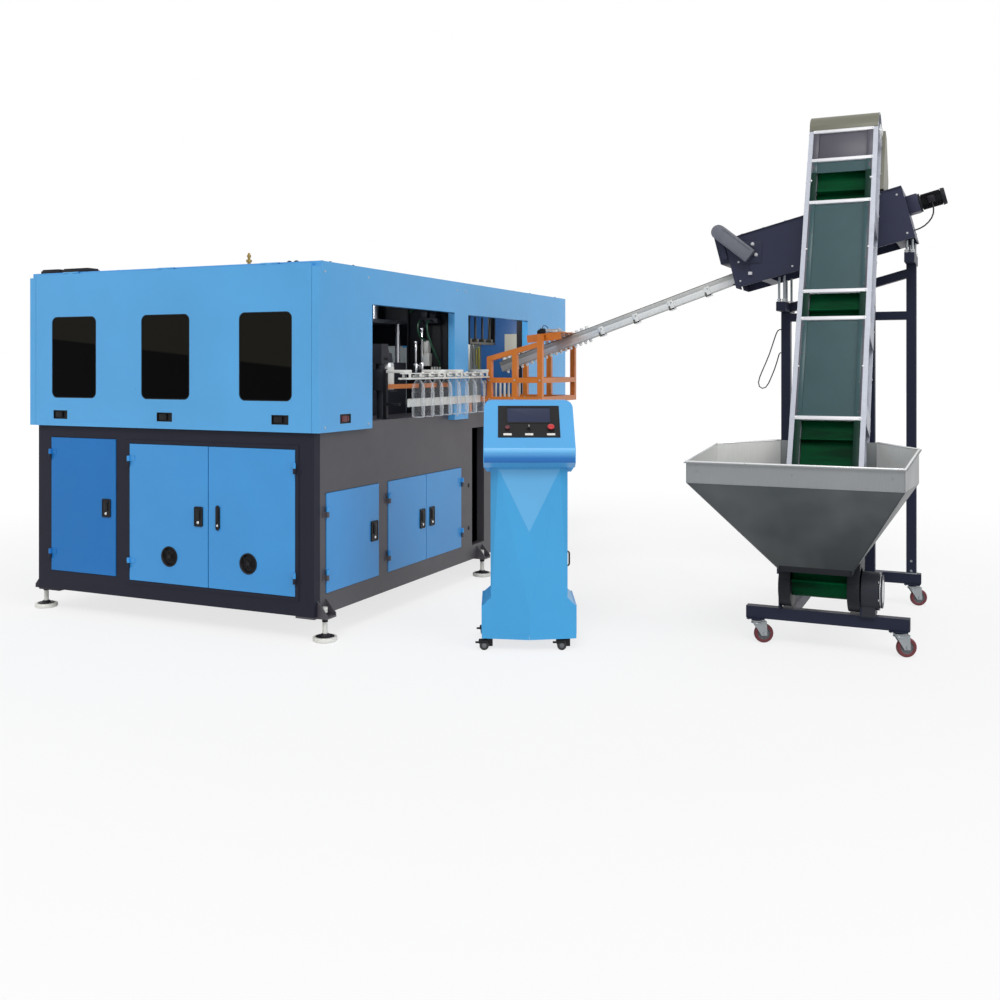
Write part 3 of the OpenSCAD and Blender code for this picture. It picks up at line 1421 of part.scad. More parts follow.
base_front_frame();
base_side_frame();
base_shell();
bed_plate();
levelling_feet();
upper_frame();
roof_panel();
rear_guards();
side_guard_near();
side_guard_far();
front_guard();
front_windows();
guard_latches();
front_door_left();
front_door_centre();
front_door_right();
side_door_near();
side_door_middle();
side_door_far();
clamp_frame();
moving_platen();
stretch_unit();
stretch_rods();
oven_unit();
electrical_panel();
air_receiver();
outfeed_rail();
bottles_and_preforms();
guard_cage();
preform_rail();
unscrambler_housing();
sorting_roller_front();
sorting_roller_back();
unscrambler_drives();
support_studs();
elevator_frame();
elevator_belt();
cover_panels();
head_cover();
head_drum();
tail_drum();
drive_cover();
hopper();
feeder_stand();
castor_fork_fl();
castor_fork_fr();
castor_fork_bl();
castor_fork_br();
castor_wheel_fl();
castor_wheel_fr();
castor_wheel_bl();
castor_wheel_br();
console_body();
console_head();
control_panel();
push_button();
selector_switch();
stop_button();
motor_cable();
stand_cable();
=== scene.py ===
import json
from math import cos, pi, radians, sin
import bmesh
import bpy
from mathutils import Matrix, Vector


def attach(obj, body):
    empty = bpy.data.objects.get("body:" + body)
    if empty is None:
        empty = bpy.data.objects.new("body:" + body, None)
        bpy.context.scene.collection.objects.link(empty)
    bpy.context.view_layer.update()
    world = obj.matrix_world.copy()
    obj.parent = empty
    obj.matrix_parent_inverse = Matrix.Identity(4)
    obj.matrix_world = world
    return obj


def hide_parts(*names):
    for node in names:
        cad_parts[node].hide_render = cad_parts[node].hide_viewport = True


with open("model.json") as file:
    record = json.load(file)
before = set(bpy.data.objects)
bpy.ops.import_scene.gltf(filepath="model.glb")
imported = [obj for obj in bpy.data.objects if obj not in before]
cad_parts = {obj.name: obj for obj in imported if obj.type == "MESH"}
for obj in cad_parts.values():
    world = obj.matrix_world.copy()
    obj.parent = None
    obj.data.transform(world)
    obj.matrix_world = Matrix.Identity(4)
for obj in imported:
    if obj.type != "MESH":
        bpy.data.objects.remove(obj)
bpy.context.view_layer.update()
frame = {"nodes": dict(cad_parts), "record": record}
nodes = frame["nodes"]
slot_of = {part["node"]: part["material_slot"] for part in frame["record"]["subparts"]}
body_of = {node: body for body, held in frame["record"]["behaviour"]["bodies"].items() for node in held}

# Camera and lights

eye = bpy.data.cameras.new("visitor_eye")
eye.lens = 39.0
eye.sensor_width = 36
eye.shift_y = -0.1338
visitor = bpy.data.objects.new("visitor_eye", eye)
visitor.location = (3.023, -7.180, 1.594)
visitor.rotation_euler = (pi / 2, 0, radians(24.28))
bpy.context.collection.objects.link(visitor)
bpy.context.scene.camera = visitor
bpy.context.scene.view_settings.view_transform = "Standard"


def lamp(kind, name, place, aim, power, **settings):
    data = bpy.data.lights.new(name, kind)
    data.energy = power
    for key, value in settings.items():
        setattr(data, key, value)
    lit = bpy.data.objects.new(name, data)
    lit.location = place
    lit.rotation_euler = (Vector(aim) - Vector(place)).to_track_quat("-Z", "Y").to_euler()
    bpy.context.collection.objects.link(lit)


lamp("SUN", "high_sun", (2, -9, 11), (0, 0, 0.5), 1.05, angle=radians(24))
lamp("SUN", "side_sun", (10, -3, 6), (0, 0, 1), 0.95, angle=radians(36))
lamp("AREA", "oven_bay_lamp", (-1.00, 0.75, 2.10), (-1.1, 1.9, 1.7), 8, size=0.12)
lamp("AREA", "mould_bay_lamp", (-0.85, -1.25, 2.10), (-0.9, -0.4, 1.4), 3, size=0.12)


def seen_rays(tree):
    """1 for what the camera sees straight, mirrored or through glass; 0 for light that falls on things."""
    rays = tree.nodes.new("ShaderNodeLightPath")
    seen = rays.outputs["Is Camera Ray"]
    for kind in ("Is Glossy Ray", "Is Transmission Ray"):
        either = tree.nodes.new("ShaderNodeMath")
        either.operation = "MAXIMUM"
        tree.links.new(seen, either.inputs[0])
        tree.links.new(rays.outputs[kind], either.inputs[1])
        seen = either.outputs[0]
    return seen


def studio_world():
    """White where it is seen, and half as strong where it lights the machine."""
    world = bpy.data.worlds.new("studio")
    world.use_nodes = True
    bpy.context.scene.world = world
    tree = world.node_tree
    tree.nodes.clear()
    mix = tree.nodes.new("ShaderNodeMixShader")
    tree.links.new(seen_rays(tree), mix.inputs[0])
    for socket, strength in ((1, 0.5), (2, 1.0)):
        backdrop = tree.nodes.new("ShaderNodeBackground")
        backdrop.inputs["Color"].default_value = (1, 1, 1, 1)
        backdrop.inputs["Strength"].default_value = strength
        tree.links.new(backdrop.outputs[0], mix.inputs[socket])
    out = tree.nodes.new("ShaderNodeOutputWorld")
    tree.links.new(mix.outputs[0], out.inputs[0])


studio_world()

# Seats: where a group of pieces is drawn, in millimetres from the floor under the cabinet's near corner

MM = Matrix.Translation((-0.460, -1.970, 0)) @ Matrix.Diagonal((0.001, 0.001, 0.001, 1))


def seat(place, axis="Z", turn=0.0, base=MM):
    """Drawing frame at a place, turned about an axis by so many degrees."""
    return base @ Matrix.Translation(place) @ Matrix.Rotation(radians(turn), 4, axis)


SORTER_PLACE, SORTER_SLOPE = (1900, 2250, 2130), 14.4
SORTER = seat(SORTER_PLACE, "Y", -SORTER_SLOPE)
RAIL = seat((30, 2450, 1627), "Y", -19)
ELEVATOR = seat((2620, 1110, 350), "X", 67.2)
CONSOLE = seat((1140, 381, 0), "Z", 24.3)
PANEL = seat((0, -80, 1142), "X", 41, CONSOLE)

# Sizes that several pieces share, on their own seats

BASE_TOP, ROOF, LEFT_WALL, BACK_WALL, LATCH_HEIGHT = 1250, 2200, -2248, 3915, 1282
RAIL_LENGTH = 1956.6
SORTER_END, MOTOR_LINE, AXLE = 1190, 210, 235
BELT_CENTRES, FRAME_HALF = 3015, 216
STAND_CASTORS = {"fl": (2262, 1100), "fr": (3035, 1100), "bl": (2215, 2500), "br": (3020, 2500)}

# Materials


def tone(r, g, b):
    """Colour from its 0 to 255 values on a screen, made linear as the shader wants it."""
    return tuple(((v / 255 + 0.055) / 1.055) ** 2.4 if v > 10 else v / 3294.6 for v in (r, g, b)) + (1,)


class Finish:
    """Builds one procedural material from plain steps."""

    def __init__(self, name, **shader):
        self.material = bpy.data.materials.new(name)
        self.material.use_nodes = True
        self.tree = self.material.node_tree
        self.shader = self.tree.nodes["Principled BSDF"]
        self.out = self.tree.nodes["Material Output"]
        for socket, value in shader.items():
            self.shader.inputs[socket.replace("_", " ")].default_value = value
        self.place = self.add("ShaderNodeTexCoord").outputs["Object"]

    def add(self, kind, **settings):
        node = self.tree.nodes.new(kind)
        for key, value in settings.items():
            setattr(node, key, value)
        return node

    def link(self, a, b):
        self.tree.links.new(a, b)

    def stretched(self, scale, turn=(0, 0, 0)):
        shift = self.add("ShaderNodeMapping")
        shift.inputs["Scale"].default_value = scale
        shift.inputs["Rotation"].default_value = [radians(angle) for angle in turn]
        self.link(self.place, shift.inputs["Vector"])
        return shift.outputs["Vector"]

    def cloud(self, scale, detail=3.0, stretch=None, turn=(0, 0, 0), roughness=0.55):
        noise = self.add("ShaderNodeTexNoise")
        noise.inputs["Scale"].default_value = scale
        noise.inputs["Detail"].default_value = detail
        noise.inputs["Roughness"].default_value = roughness
        self.link(self.stretched(stretch, turn) if stretch else self.place, noise.inputs["Vector"])
        return noise.outputs["Fac"]

    def height(self, low, high):
        """0 at the height low, 1 at the height high."""
        split = self.add("ShaderNodeSeparateXYZ")
        self.link(self.place, split.inputs[0])
        return self.span(split.outputs["Z"], 0.0, 1.0, low, high)

    def ramp(self, source, stops):
        bands = self.add("ShaderNodeValToRGB")
        edge = bands.color_ramp.elements
        while len(edge) < len(stops):
            edge.new(0.5)
        for stop, (at, colour) in zip(edge, stops):
            stop.position = at
            stop.color = colour
        self.link(source, bands.inputs["Fac"])
        return bands.outputs["Color"]

    def span(self, source, low, high, start=0.0, end=1.0):
        """What runs from start to end, as values from low to high."""
        band = self.add("ShaderNodeMapRange")
        band.inputs["From Min"].default_value = start
        band.inputs["From Max"].default_value = end
        band.inputs["To Min"].default_value = low
        band.inputs["To Max"].default_value = high
        self.link(source, band.inputs["Value"])
        return band.outputs["Result"]

    def blend(self, share, first, second):
        mix = self.add("ShaderNodeMix", data_type="RGBA")
        for socket, value in ((mix.inputs["Factor"], share), (mix.inputs[6], first), (mix.inputs[7], second)):
            if isinstance(value, bpy.types.NodeSocket):
                self.link(value, socket)
            else:
                socket.default_value = value
        return mix.outputs[2]

    def colour(self, socket):
        self.link(socket, self.shader.inputs["Base Color"])

    def rough(self, socket):
        self.link(socket, self.shader.inputs["Roughness"])

    def bump(self, source, depth, strength=1.0):
        relief = self.add("ShaderNodeBump")
        relief.inputs["Distance"].default_value = depth
        relief.inputs["Strength"].default_value = strength
        self.link(source, relief.inputs["Height"])
        self.link(relief.outputs["Normal"], self.shader.inputs["Normal"])


def shade(colour, k):
    return tuple(min(1, v * k) for v in colour[:3]) + (1,)


def coat(name, colour, rough=0.38, spread=0.06, grain=260, depth=0.00025, **shader):
    """Sprayed paint: slow changes of tone, fine orange peel, dust and rubbed spots."""
    f = Finish(name, Roughness=rough, **shader)
    paint_tone = f.ramp(f.cloud(1.3, 4), [(0.3, shade(colour, 1 - spread)), (0.7, shade(colour, 1 + spread))])
    specks = f.span(f.cloud(34, 5, roughness=0.7), 0.0, 0.22, 0.62, 0.72)
    f.colour(f.blend(specks, paint_tone, shade(colour, 0.72)))
    f.rough(f.span(f.cloud(9, 5), rough - 0.07, rough + 0.09))
    f.bump(f.cloud(grain, 2), depth, 0.5)
    return f.material


def brushed(name, colour, rough=0.32, stretch=(4, 4, 160), metallic=0.9, spread=0.12, turn=(0, 0, 0)):
    """Drawn or brushed metal with its lines along one way, and faint handling smears."""
    f = Finish(name, Metallic=metallic, Roughness=rough)
    lines = f.cloud(6, 4, stretch, turn)
    drawn = f.ramp(lines, [(0.3, shade(colour, 1 - spread)), (0.7, shade(colour, 1 + spread))])
    f.colour(f.blend(f.span(f.cloud(5, 4), 0.0, 0.25, 0.5, 0.75), drawn, shade(colour, 0.8)))
    f.rough(f.span(f.cloud(14, 4), rough - 0.1, rough + 0.12))
    f.bump(lines, 0.0002, 0.35)
    return f.material


def moulded(name, colour, rough=0.42, grain=900, **shader):
    """Moulded plastic or rubber with a fine leathery skin."""
    f = Finish(name, Roughness=rough, **shader)
    f.colour(f.ramp(f.cloud(5, 3), [(0.3, shade(colour, 0.93)), (0.7, shade(colour, 1.06))]))
    f.rough(f.span(f.cloud(60, 2), rough - 0.05, rough + 0.08))
    f.bump(f.cloud(grain, 1), 0.0001, 0.4)
    return f.material


def smoked_glass():
    """Tinted window: a painted reflection makes the part above a slanted line slightly paler over a deep
    lower part, and faint wiping marks.
    """
    f = Finish("smoked_window", Roughness=0.08, Specular_IOR_Level=0.03)
    lean = f.add("ShaderNodeVectorMath", operation="DOT_PRODUCT")
    lean.inputs[1].default_value = (0.098, 0, 1)
    f.link(f.place, lean.inputs[0])
    # painted reflection: the glass turns paler above a slanted line
    reflection_split = f.span(lean.outputs["Value"], 0.0, 1.0, 1.518, 1.530)
    f.colour(f.blend(reflection_split, tone(3, 3, 4), tone(27, 26, 21)))
    f.rough(f.span(f.cloud(11, 4, (1, 1, 3)), 0.04, 0.2))
    return f.material


def clear_skin(name, colour, low, high):
    """Clear blown plastic: see-through in the middle and milky where its wall is seen edge on."""
    f = Finish(name, Roughness=0.12, Specular_IOR_Level=0.6)
    facing = f.add("ShaderNodeLayerWeight")
    facing.inputs["Blend"].default_value = 0.35
    f.link(f.span(facing.outputs["Facing"], low, high, 0.1, 0.8), f.shader.inputs["Alpha"])
    f.colour(f.ramp(f.cloud(40, 2), [(0.3, shade(colour, 0.94)), (0.7, colour)]))
    f.bump(f.cloud(26, 2, (1, 1, 3)), 0.0006, 0.35)
    return f.material


def hopper_sheet():
    """Stainless sheet with upright brushing and slow bright and dull patches, and painted shade on the cone
    below the band, darker towards the bottom.
    """
    f = Finish("hopper_sheet", Metallic=0.55, Roughness=0.42)
    lines = f.cloud(5, 3, (60, 60, 2))
    drawn = f.ramp(lines, [(0.3, tone(138, 141, 143)), (0.7, tone(144, 147, 149))])
    # painted shade: the cone under the band darkens towards its bottom
    painted_shade_cone = f.blend(f.span(f.height(0.45, 0.95), 0.0, 1.0), tone(46, 50, 52), tone(74, 79, 82))
    sheet = f.blend(f.span(f.height(0.938, 0.944), 0.0, 1.0), painted_shade_cone, drawn)
    f.colour(f.blend(f.span(f.cloud(1.6, 3), 0.0, 0.14, 0.45, 0.7), sheet, tone(176, 178, 178)))
    f.rough(f.span(f.cloud(4, 4), 0.3, 0.5))
    f.bump(lines, 0.00005, 0.3)
    return f.material


def belt_skin():
    """Green belt: cloth pattern, scuffs and dark wear along it."""
    f = Finish("belt_green_skin", Roughness=0.5, Specular_IOR_Level=0.05)
    weave = f.add("ShaderNodeTexChecker")
    weave.inputs["Scale"].default_value = 500
    f.link(f.place, weave.inputs["Vector"])
    scuff = f.cloud(5, 4, (0.5, 3, 3))
    f.colour(f.ramp(scuff, [(0.3, tone(0, 46, 24)), (0.55, tone(0, 70, 38)), (0.78, tone(0, 90, 50))]))
    f.rough(f.span(scuff, 0.36, 0.62))
    f.bump(weave.outputs["Fac"], 0.00008, 0.3)
    return f.material


def lip_coat_painted_light():
    """Console blue with painted light: a painted highlight pales it towards the rounded edge of the desk, and
    painted shade deepens it under the edge.
    """
    f = Finish("desk_edge_painted_light_blue", Roughness=0.32, Specular_IOR_Level=0.35)
    # painted shade low on the lip, painted highlight at its rounded edge
    f.colour(f.ramp(f.height(1.064, 1.142), [(0.0, tone(30, 98, 168)), (0.3, tone(36, 112, 184)),
                                             (0.75, tone(104, 180, 232)), (1.0, tone(128, 194, 240))]))
    f.rough(f.span(f.cloud(9, 5), 0.26, 0.4))
    f.bump(f.cloud(260, 2), 0.00025, 0.5)
    return f.material


finishes = {
    "cabinet_blue": coat("cabinet_blue_coat", tone(82, 167, 226), 0.3),
    "door_blue": coat("door_blue_coat", tone(58, 149, 216), 0.32),
    "base_slate": coat("base_slate_coat", tone(74, 71, 76), 0.44),
    "frame_dark": coat("frame_dark_coat", tone(30, 31, 36), 0.5, Specular_IOR_Level=0.2),
    "cage_orange": coat("cage_orange_coat", tone(214, 120, 40), 0.3, 0.1),
    "sorter_slate": coat("sorter_slate_coat", tone(55, 58, 79), 0.42, Specular_IOR_Level=0.2),
    "head_olive": coat("head_olive_coat", tone(112, 111, 96), 0.42),
    "cooler_blue": coat("receiver_blue_coat", tone(62, 111, 159), 0.3),
    "oven_grey": coat("oven_grey_coat", tone(142, 143, 136), 0.45),
    "panel_beige": coat("panel_beige_coat", tone(205, 199, 178), 0.5),
    "cast": coat("cast_iron_coat", tone(44, 46, 54), 0.5, grain=140, depth=0.0006, Specular_IOR_Level=0.2),
    "steel": brushed("machined_steel", tone(176, 178, 182), 0.3),
    "chrome": brushed("polished_chrome", tone(205, 207, 210), 0.12, (2, 2, 40), 1.0, 0.04),
    "stainless": hopper_sheet(),
    "aluminium": brushed("anodised_aluminium", tone(168, 172, 182), 0.4, (2, 90, 2), 0.4, 0.05, (67, 0, 0)),
    "window_smoke": smoked_glass(),
    "black_plastic": moulded("black_moulding", tone(17, 17, 20), 0.42, Specular_IOR_Level=0.25),
    "white_plastic": moulded("white_moulding", tone(222, 222, 217), 0.36),
    "cover_tint": moulded("tinted_cover", tone(60, 88, 92), 0.22, Alpha=0.93, Specular_IOR_Level=0.2),
    "clear_pet": clear_skin("clear_bottle_skin", tone(240, 244, 248), 0.05, 0.72),
    "belt_green": belt_skin(),
    "tyre_maroon": moulded("tyre_maroon_skin", tone(96, 30, 38), 0.5),
    "button_red": moulded("button_red_skin", tone(196, 40, 46), 0.28),
    "cable_black": moulded("cable_black_skin", tone(30, 31, 33), 0.5),
    "zinc": brushed("zinc_plate", tone(150, 156, 160), 0.36, (30, 30, 30), 0.6, 0.08),
    "bolt": brushed("bolt_steel", tone(196, 198, 200), 0.3, (20, 20, 20), 0.5, 0.08),
    "bolt_white": moulded("bolt_cap_white", tone(236, 236, 240), 0.3),
    "brass": brushed("brass_fitting", tone(150, 128, 78), 0.3, (20, 20, 20), 0.85, 0.1),
    "dark_panel": coat("dark_panel_coat", tone(70, 68, 80), 0.4),
    "bar_grey": coat("kicker_grey_coat", tone(116, 118, 128), 0.42),
    "rail_grey": brushed("rail_steel", tone(188, 189, 187), 0.36, (90, 2, 2), 0.5, 0.1, (0, 19, 0)),
    "rail_bright": brushed("rail_bright_steel", tone(226, 228, 228), 0.3, (90, 2, 2), 0.45, 0.05, (0, 19, 0)),
    "rail_top": coat("rail_top_dark", tone(98, 96, 88), 0.4),
    "strip_green": coat("strip_dark_green", tone(8, 46, 36), 0.4, Specular_IOR_Level=0.12),
    "hose_green": moulded("hose_green_skin", tone(38, 84, 62), 0.3),
    "screen": moulded("screen_glass", tone(38, 46, 74), 0.12, Specular_IOR_Level=0.3),
    "hub_grey": moulded("hub_grey_core", tone(96, 98, 102), 0.45),
    "foot_cream": moulded("foot_cream_enamel", tone(226, 226, 220), 0.32),
    "deep_red": moulded("deep_red_moulding", tone(92, 30, 38), 0.4),
    "lip_painted_light_blue": lip_coat_painted_light(),
    # painted shade: a darker copy of the cabinet blue, for the wall inside the far opening
    "inner_painted_shade_blue": coat("inner_painted_shade_coat", tone(50, 100, 158), 0.36),
    # painted shade: a darker, bluer copy of the slate, for the base's front frame
    "front_painted_shade_slate": coat("base_front_painted_shade_coat", tone(38, 39, 51), 0.42, Specular_IOR_Level=0.12),
    "shell_slate": coat("shell_slate_coat", tone(48, 47, 54), 0.44, Specular_IOR_Level=0.2),
    # painted shade: a darker copy of the door blue, for the left front door
    "shaded_door_blue": coat("left_door_painted_shade_coat", tone(32, 116, 188), 0.34, Specular_IOR_Level=0.25),
    "console_blue": coat("console_blue_coat", tone(66, 160, 216), 0.34, Specular_IOR_Level=0.35),
    # painted highlight: a paler copy of the console blue
    "facet_painted_highlight_blue": coat("facet_painted_highlight_coat", tone(94, 172, 222), 0.3),
    "preform_skin": clear_skin("preform_skin", tone(248, 250, 251), 0.85, 1.0),
    "bright_sheet": brushed("bright_sheet", tone(224, 225, 222), 0.4, (40, 40, 2), 0.3, 0.04),
    "tail_dark": coat("tail_cheek_coat", tone(30, 32, 37), 0.45, Specular_IOR_Level=0.15),
    "lamp_yellow": moulded("lamp_yellow_tube", tone(176, 168, 60), 0.3),
    "stand_blue": coat("stand_blue_coat", tone(36, 40, 58), 0.42, Specular_IOR_Level=0.15),
}


for name, obj in nodes.items():
    obj.data.materials.clear()
    obj.data.materials.append(finishes[slot_of[name]])


def repaint(node, finish):
    nodes[node].data.materials[0] = finishes[finish]


# Cables, before anything else is made


def in_sorter(x, y, z):
    """A point of the sloped sorter, in the cabinet's millimetres."""
    slope = radians(SORTER_SLOPE)
    x0, y0, z0 = SORTER_PLACE
    return (x0 + x * cos(slope) - z * sin(slope), y0 + y, z0 + x * sin(slope) + z * cos(slope))


def cable(name, route, radius, node):
    """Free lead along a route in millimetres, in place of its CAD solid."""
    curve = bpy.data.curves.new(name, "CURVE")
    curve.dimensions = "3D"
    curve.bevel_depth = radius
    curve.bevel_resolution = 3
    curve.use_fill_caps = True
    line = curve.splines.new("POLY")
    places = [MM @ Vector(point) for point in route]
    line.points.add(len(places) - 1)
    for point, place in zip(line.points, places):
        point.co = (*place, 1)
    lead = bpy.data.objects.new(name, curve)
    bpy.context.collection.objects.link(lead)
    curve.materials.append(finishes["cable_black"])
    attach(lead, "machine")
    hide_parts(node)


motor_route = [(1340, 154, 211), (1340, 154, 191), (1338, 155, 165), (1330, 158, 138), (1312, 161, 112),
               (1288, 164, 92), (1258, 167, 76), (1228, 169, 68), (1206, 170, 66), (1190, 170, 66)]
stand_route = [(0, 1850), (-16, 1850), (-29, 1841), (-40, 1818), (-50, 1790), (-66, 1740), (-86, 1680),
               (-110, 1620), (-136, 1560), (-154, 1515), (-162, 1480), (-156, 1452), (-136, 1438),
               (-112, 1446), (-92, 1474), (-72, 1520), (-52, 1570), (-36, 1618), (-27, 1650), (-20, 1676),
               (-11, 1688), (0, 1688)]
cable("motor_lead", [in_sorter(*point) for point in motor_route], 0.005, "motor_cable")
cable("stand_lead", [(2166 + dx, 2500, z) for dx, z in stand_route], 0.004, "stand_cable")

# Tools for shaping

TO_FRONT = Matrix.Rotation(pi / 2, 4, "X")
TO_SIDE = Matrix.Rotation(pi / 2, 4, "Z") @ TO_FRONT
TO_LEFT = Matrix.Rotation(-pi / 2, 4, "Z") @ TO_FRONT
TO_BACK = Matrix.Rotation(pi, 4, "Z") @ TO_FRONT
UP = Matrix.Identity(4)
UPWARD, FORWARD, BACKWARD, LEFTWARD, RIGHTWARD = (0, 0, 1), (0, -1, 0), (0, 1, 0), (-1, 0, 0), (1, 0, 0)
MERGE = 0.01  # points closer than this, in millimetres, become one
CREASE = radians(28)  # edges sharper than this stay crisp


def spot(x, y, z, way=UP):
    """A place on its seat, for a flat thing that faces the given way."""
    return Matrix.Translation((x, y, z)) @ way


def sided(s, near, far):
    """Bounds of what lies near to far from the middle, on the left for s of -1 and the right for 1."""
    return (near, far) if s > 0 else (-far, -near)


class Shop:
    """One piece under way, drawn in millimetres on its seat."""

    def __init__(self, place=MM):
        self.place = place
        self.bm = bmesh.new()

    def soften(self, edges, width):
        if width:
            bmesh.ops.bevel(self.bm, geom=list(edges), offset=width, affect="EDGES", segments=2, profile=0.5,
                            material=-1, clamp_overlap=True)

    def block(self, lo, hi, soft=1.5, turn=None):
        """Block between two corners, with edges softened by soft."""
        verts = bmesh.ops.create_cube(self.bm, size=1)["verts"]
        bmesh.ops.scale(self.bm, vec=[b - a for a, b in zip(lo, hi)], verts=verts)
        bmesh.ops.translate(self.bm, vec=[(a + b) / 2 for a, b in zip(lo, hi)], verts=verts)
        if turn:
            bmesh.ops.transform(self.bm, matrix=turn, verts=verts)
        self.soften({e for v in verts for e in v.link_edges}, soft)
        return self

    def blocks(self, soft, *spans):
        """Several blocks with the same softened edges."""
        for lo, hi in spans:
            self.block(lo, hi, soft)
        return self

    def rod(self, a, b, r, r2=None, sides=24, soft=0.0):
        """Round bar or cone from a to b."""
        a, b = Vector(a), Vector(b)
        verts = bmesh.ops.create_cone(self.bm, cap_ends=True, segments=sides, radius1=r,
                                      radius2=r if r2 is None else r2, depth=(b - a).length)["verts"]
        lie = Matrix.Translation((a + b) / 2) @ (b - a).to_track_quat("Z", "Y").to_matrix().to_4x4()
        bmesh.ops.transform(self.bm, matrix=lie, verts=verts)
        if soft:
            caps = [f for f in {f for v in verts for f in v.link_faces} if len(f.verts) == sides]
            self.soften({e for f in caps for e in f.edges}, soft)
        return self

    def turned(self, outline, at, way=UPWARD, sides=28, ring=False):
        """Turned part on a line from at along way; outline is (radius, distance along the line)."""
        verts = [self.bm.verts.new((r, 0, h)) for r, h in outline]
        edges = [self.bm.edges.new(pair) for pair in zip(verts, verts[1:])]
        if ring:
            edges.append(self.bm.edges.new((verts[-1], verts[0])))
        before = set(self.bm.verts) - set(verts)
        bmesh.ops.spin(self.bm, geom=verts + edges, cent=(0, 0, 0), axis=UPWARD, dvec=(0, 0, 0),
                       angle=2 * pi, steps=sides, use_merge=True)
        made = [v for v in self.bm.verts if v not in before]
        bmesh.ops.remove_doubles(self.bm, verts=made, dist=MERGE)
        made = [v for v in self.bm.verts if v not in before]
        lie = Matrix.Translation(at) @ Vector(way).to_track_quat("Z", "Y").to_matrix().to_4x4()
        bmesh.ops.transform(self.bm, matrix=lie, verts=made)
        return self

    def plate(self, corners, way):
        """Sheet between its corners, as thick as way is long."""
        face = self.bm.faces.new([self.bm.verts.new(corner) for corner in corners])
        made = bmesh.ops.extrude_face_region(self.bm, geom=[face], use_keep_orig=True)["geom"]
        moved = [v for v in made if isinstance(v, bmesh.types.BMVert)]
        bmesh.ops.translate(self.bm, vec=way, verts=moved)
        return self

    def card(self, w, h, r, place):
        """Flat face w by h, with corners of radius r."""
        verts = bmesh.ops.create_grid(self.bm, x_segments=1, y_segments=1, size=0.5)["verts"]
        face = verts[0].link_faces[0]
        bmesh.ops.scale(self.bm, vec=(w, h, 1), verts=verts)
        if r:
            before = set(self.bm.faces)
            bmesh.ops.bevel(self.bm, geom=verts, offset=r, affect="VERTICES", segments=6, profile=0.5,
                            material=-1)
            face = face if face.is_valid else [f for f in self.bm.faces if f not in before][0]
        bmesh.ops.transform(self.bm, matrix=place, verts=face.verts)
        return face

    def slab(self, w, h, r, t, place, soft=0.0, hollow=0.0):
        """Flat plate with round corners, t thick towards its front; hollow leaves a rim of that width."""
        face = self.card(w, h, r, place)
        if hollow:
            bmesh.ops.inset_region(self.bm, faces=[face], thickness=hollow, use_even_offset=True,
                                   use_boundary=True)
            ring = [f for f in {f for v in face.verts for f in v.link_faces} if f is not face]
            bmesh.ops.delete(self.bm, geom=[face], context="FACES_ONLY")
        else:
            ring = [face]
        made = bmesh.ops.extrude_face_region(self.bm, geom=ring, use_keep_orig=True)["geom"]
        moved = [v for v in made if isinstance(v, bmesh.types.BMVert)]
        out = (place.to_3x3() @ Vector((0, 0, 1))) * t
        bmesh.ops.translate(self.bm, vec=out, verts=moved)
        if soft:
            top = {f for v in moved for f in v.link_faces if all(u in set(moved) for u in f.verts)}
            rim = {e for f in top for e in f.edges if sum(g in top for g in e.link_faces) == 1}
            self.soften(rim, soft)
        return self

    def bolt(self, at, way, r=6.0, h=5.0):
        """Hex head on a washer."""
        at, way = Vector(at), Vector(way).normalized()
        self.rod(at, at + way * 1.5, r * 1.35, sides=16)
        self.rod(at + way * 1.5, at + way * (1.5 + h), r, r * 0.94, sides=6, soft=min(0.8, h * 0.2))
        return self

    def pipe(self, route, r, sides=10):
        """Round tube along a route, with its ends closed."""
        route = [Vector(point) for point in route]
        ring = side = None
        for i, point in enumerate(route):
            way = (route[min(i + 1, len(route) - 1)] - route[max(i - 1, 0)]).normalized()
            side = (side or way.orthogonal()) - way * (side or way.orthogonal()).dot(way)
            side.normalize()
            lie = Matrix.Translation(point) @ Matrix((side, way.cross(side), way)).transposed().to_4x4()
            made = bmesh.ops.create_circle(self.bm, cap_ends=i in (0, len(route) - 1), segments=sides,
                                           radius=r, matrix=lie)["verts"]
            edges = list({e for v in made for e in v.link_edges})
            if ring:
                bmesh.ops.bridge_loops(self.bm, edges=ring + edges)
            ring = edges
        return self

    def done(self, name, slot, body="machine", stands_for=(), finish=None):
        bmesh.ops.remove_doubles(self.bm, verts=self.bm.verts, dist=MERGE)
        bmesh.ops.recalc_face_normals(self.bm, faces=self.bm.faces)
        bmesh.ops.transform(self.bm, matrix=self.place, verts=self.bm.verts)
        mesh = bpy.data.meshes.new(name)
        self.bm.to_mesh(mesh)
        self.bm.free()
        mesh.polygons.foreach_set("use_smooth", [True] * len(mesh.polygons))
        mesh.set_sharp_from_angle(angle=CREASE)
        mesh.materials.append(finishes[finish or slot])
        piece = bpy.data.objects.new(name, mesh)
        bpy.context.collection.objects.link(piece)
        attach(piece, body)
        if stands_for:
            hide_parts(*stands_for)


# Locks, vents, latches and plugs of the doors and guards


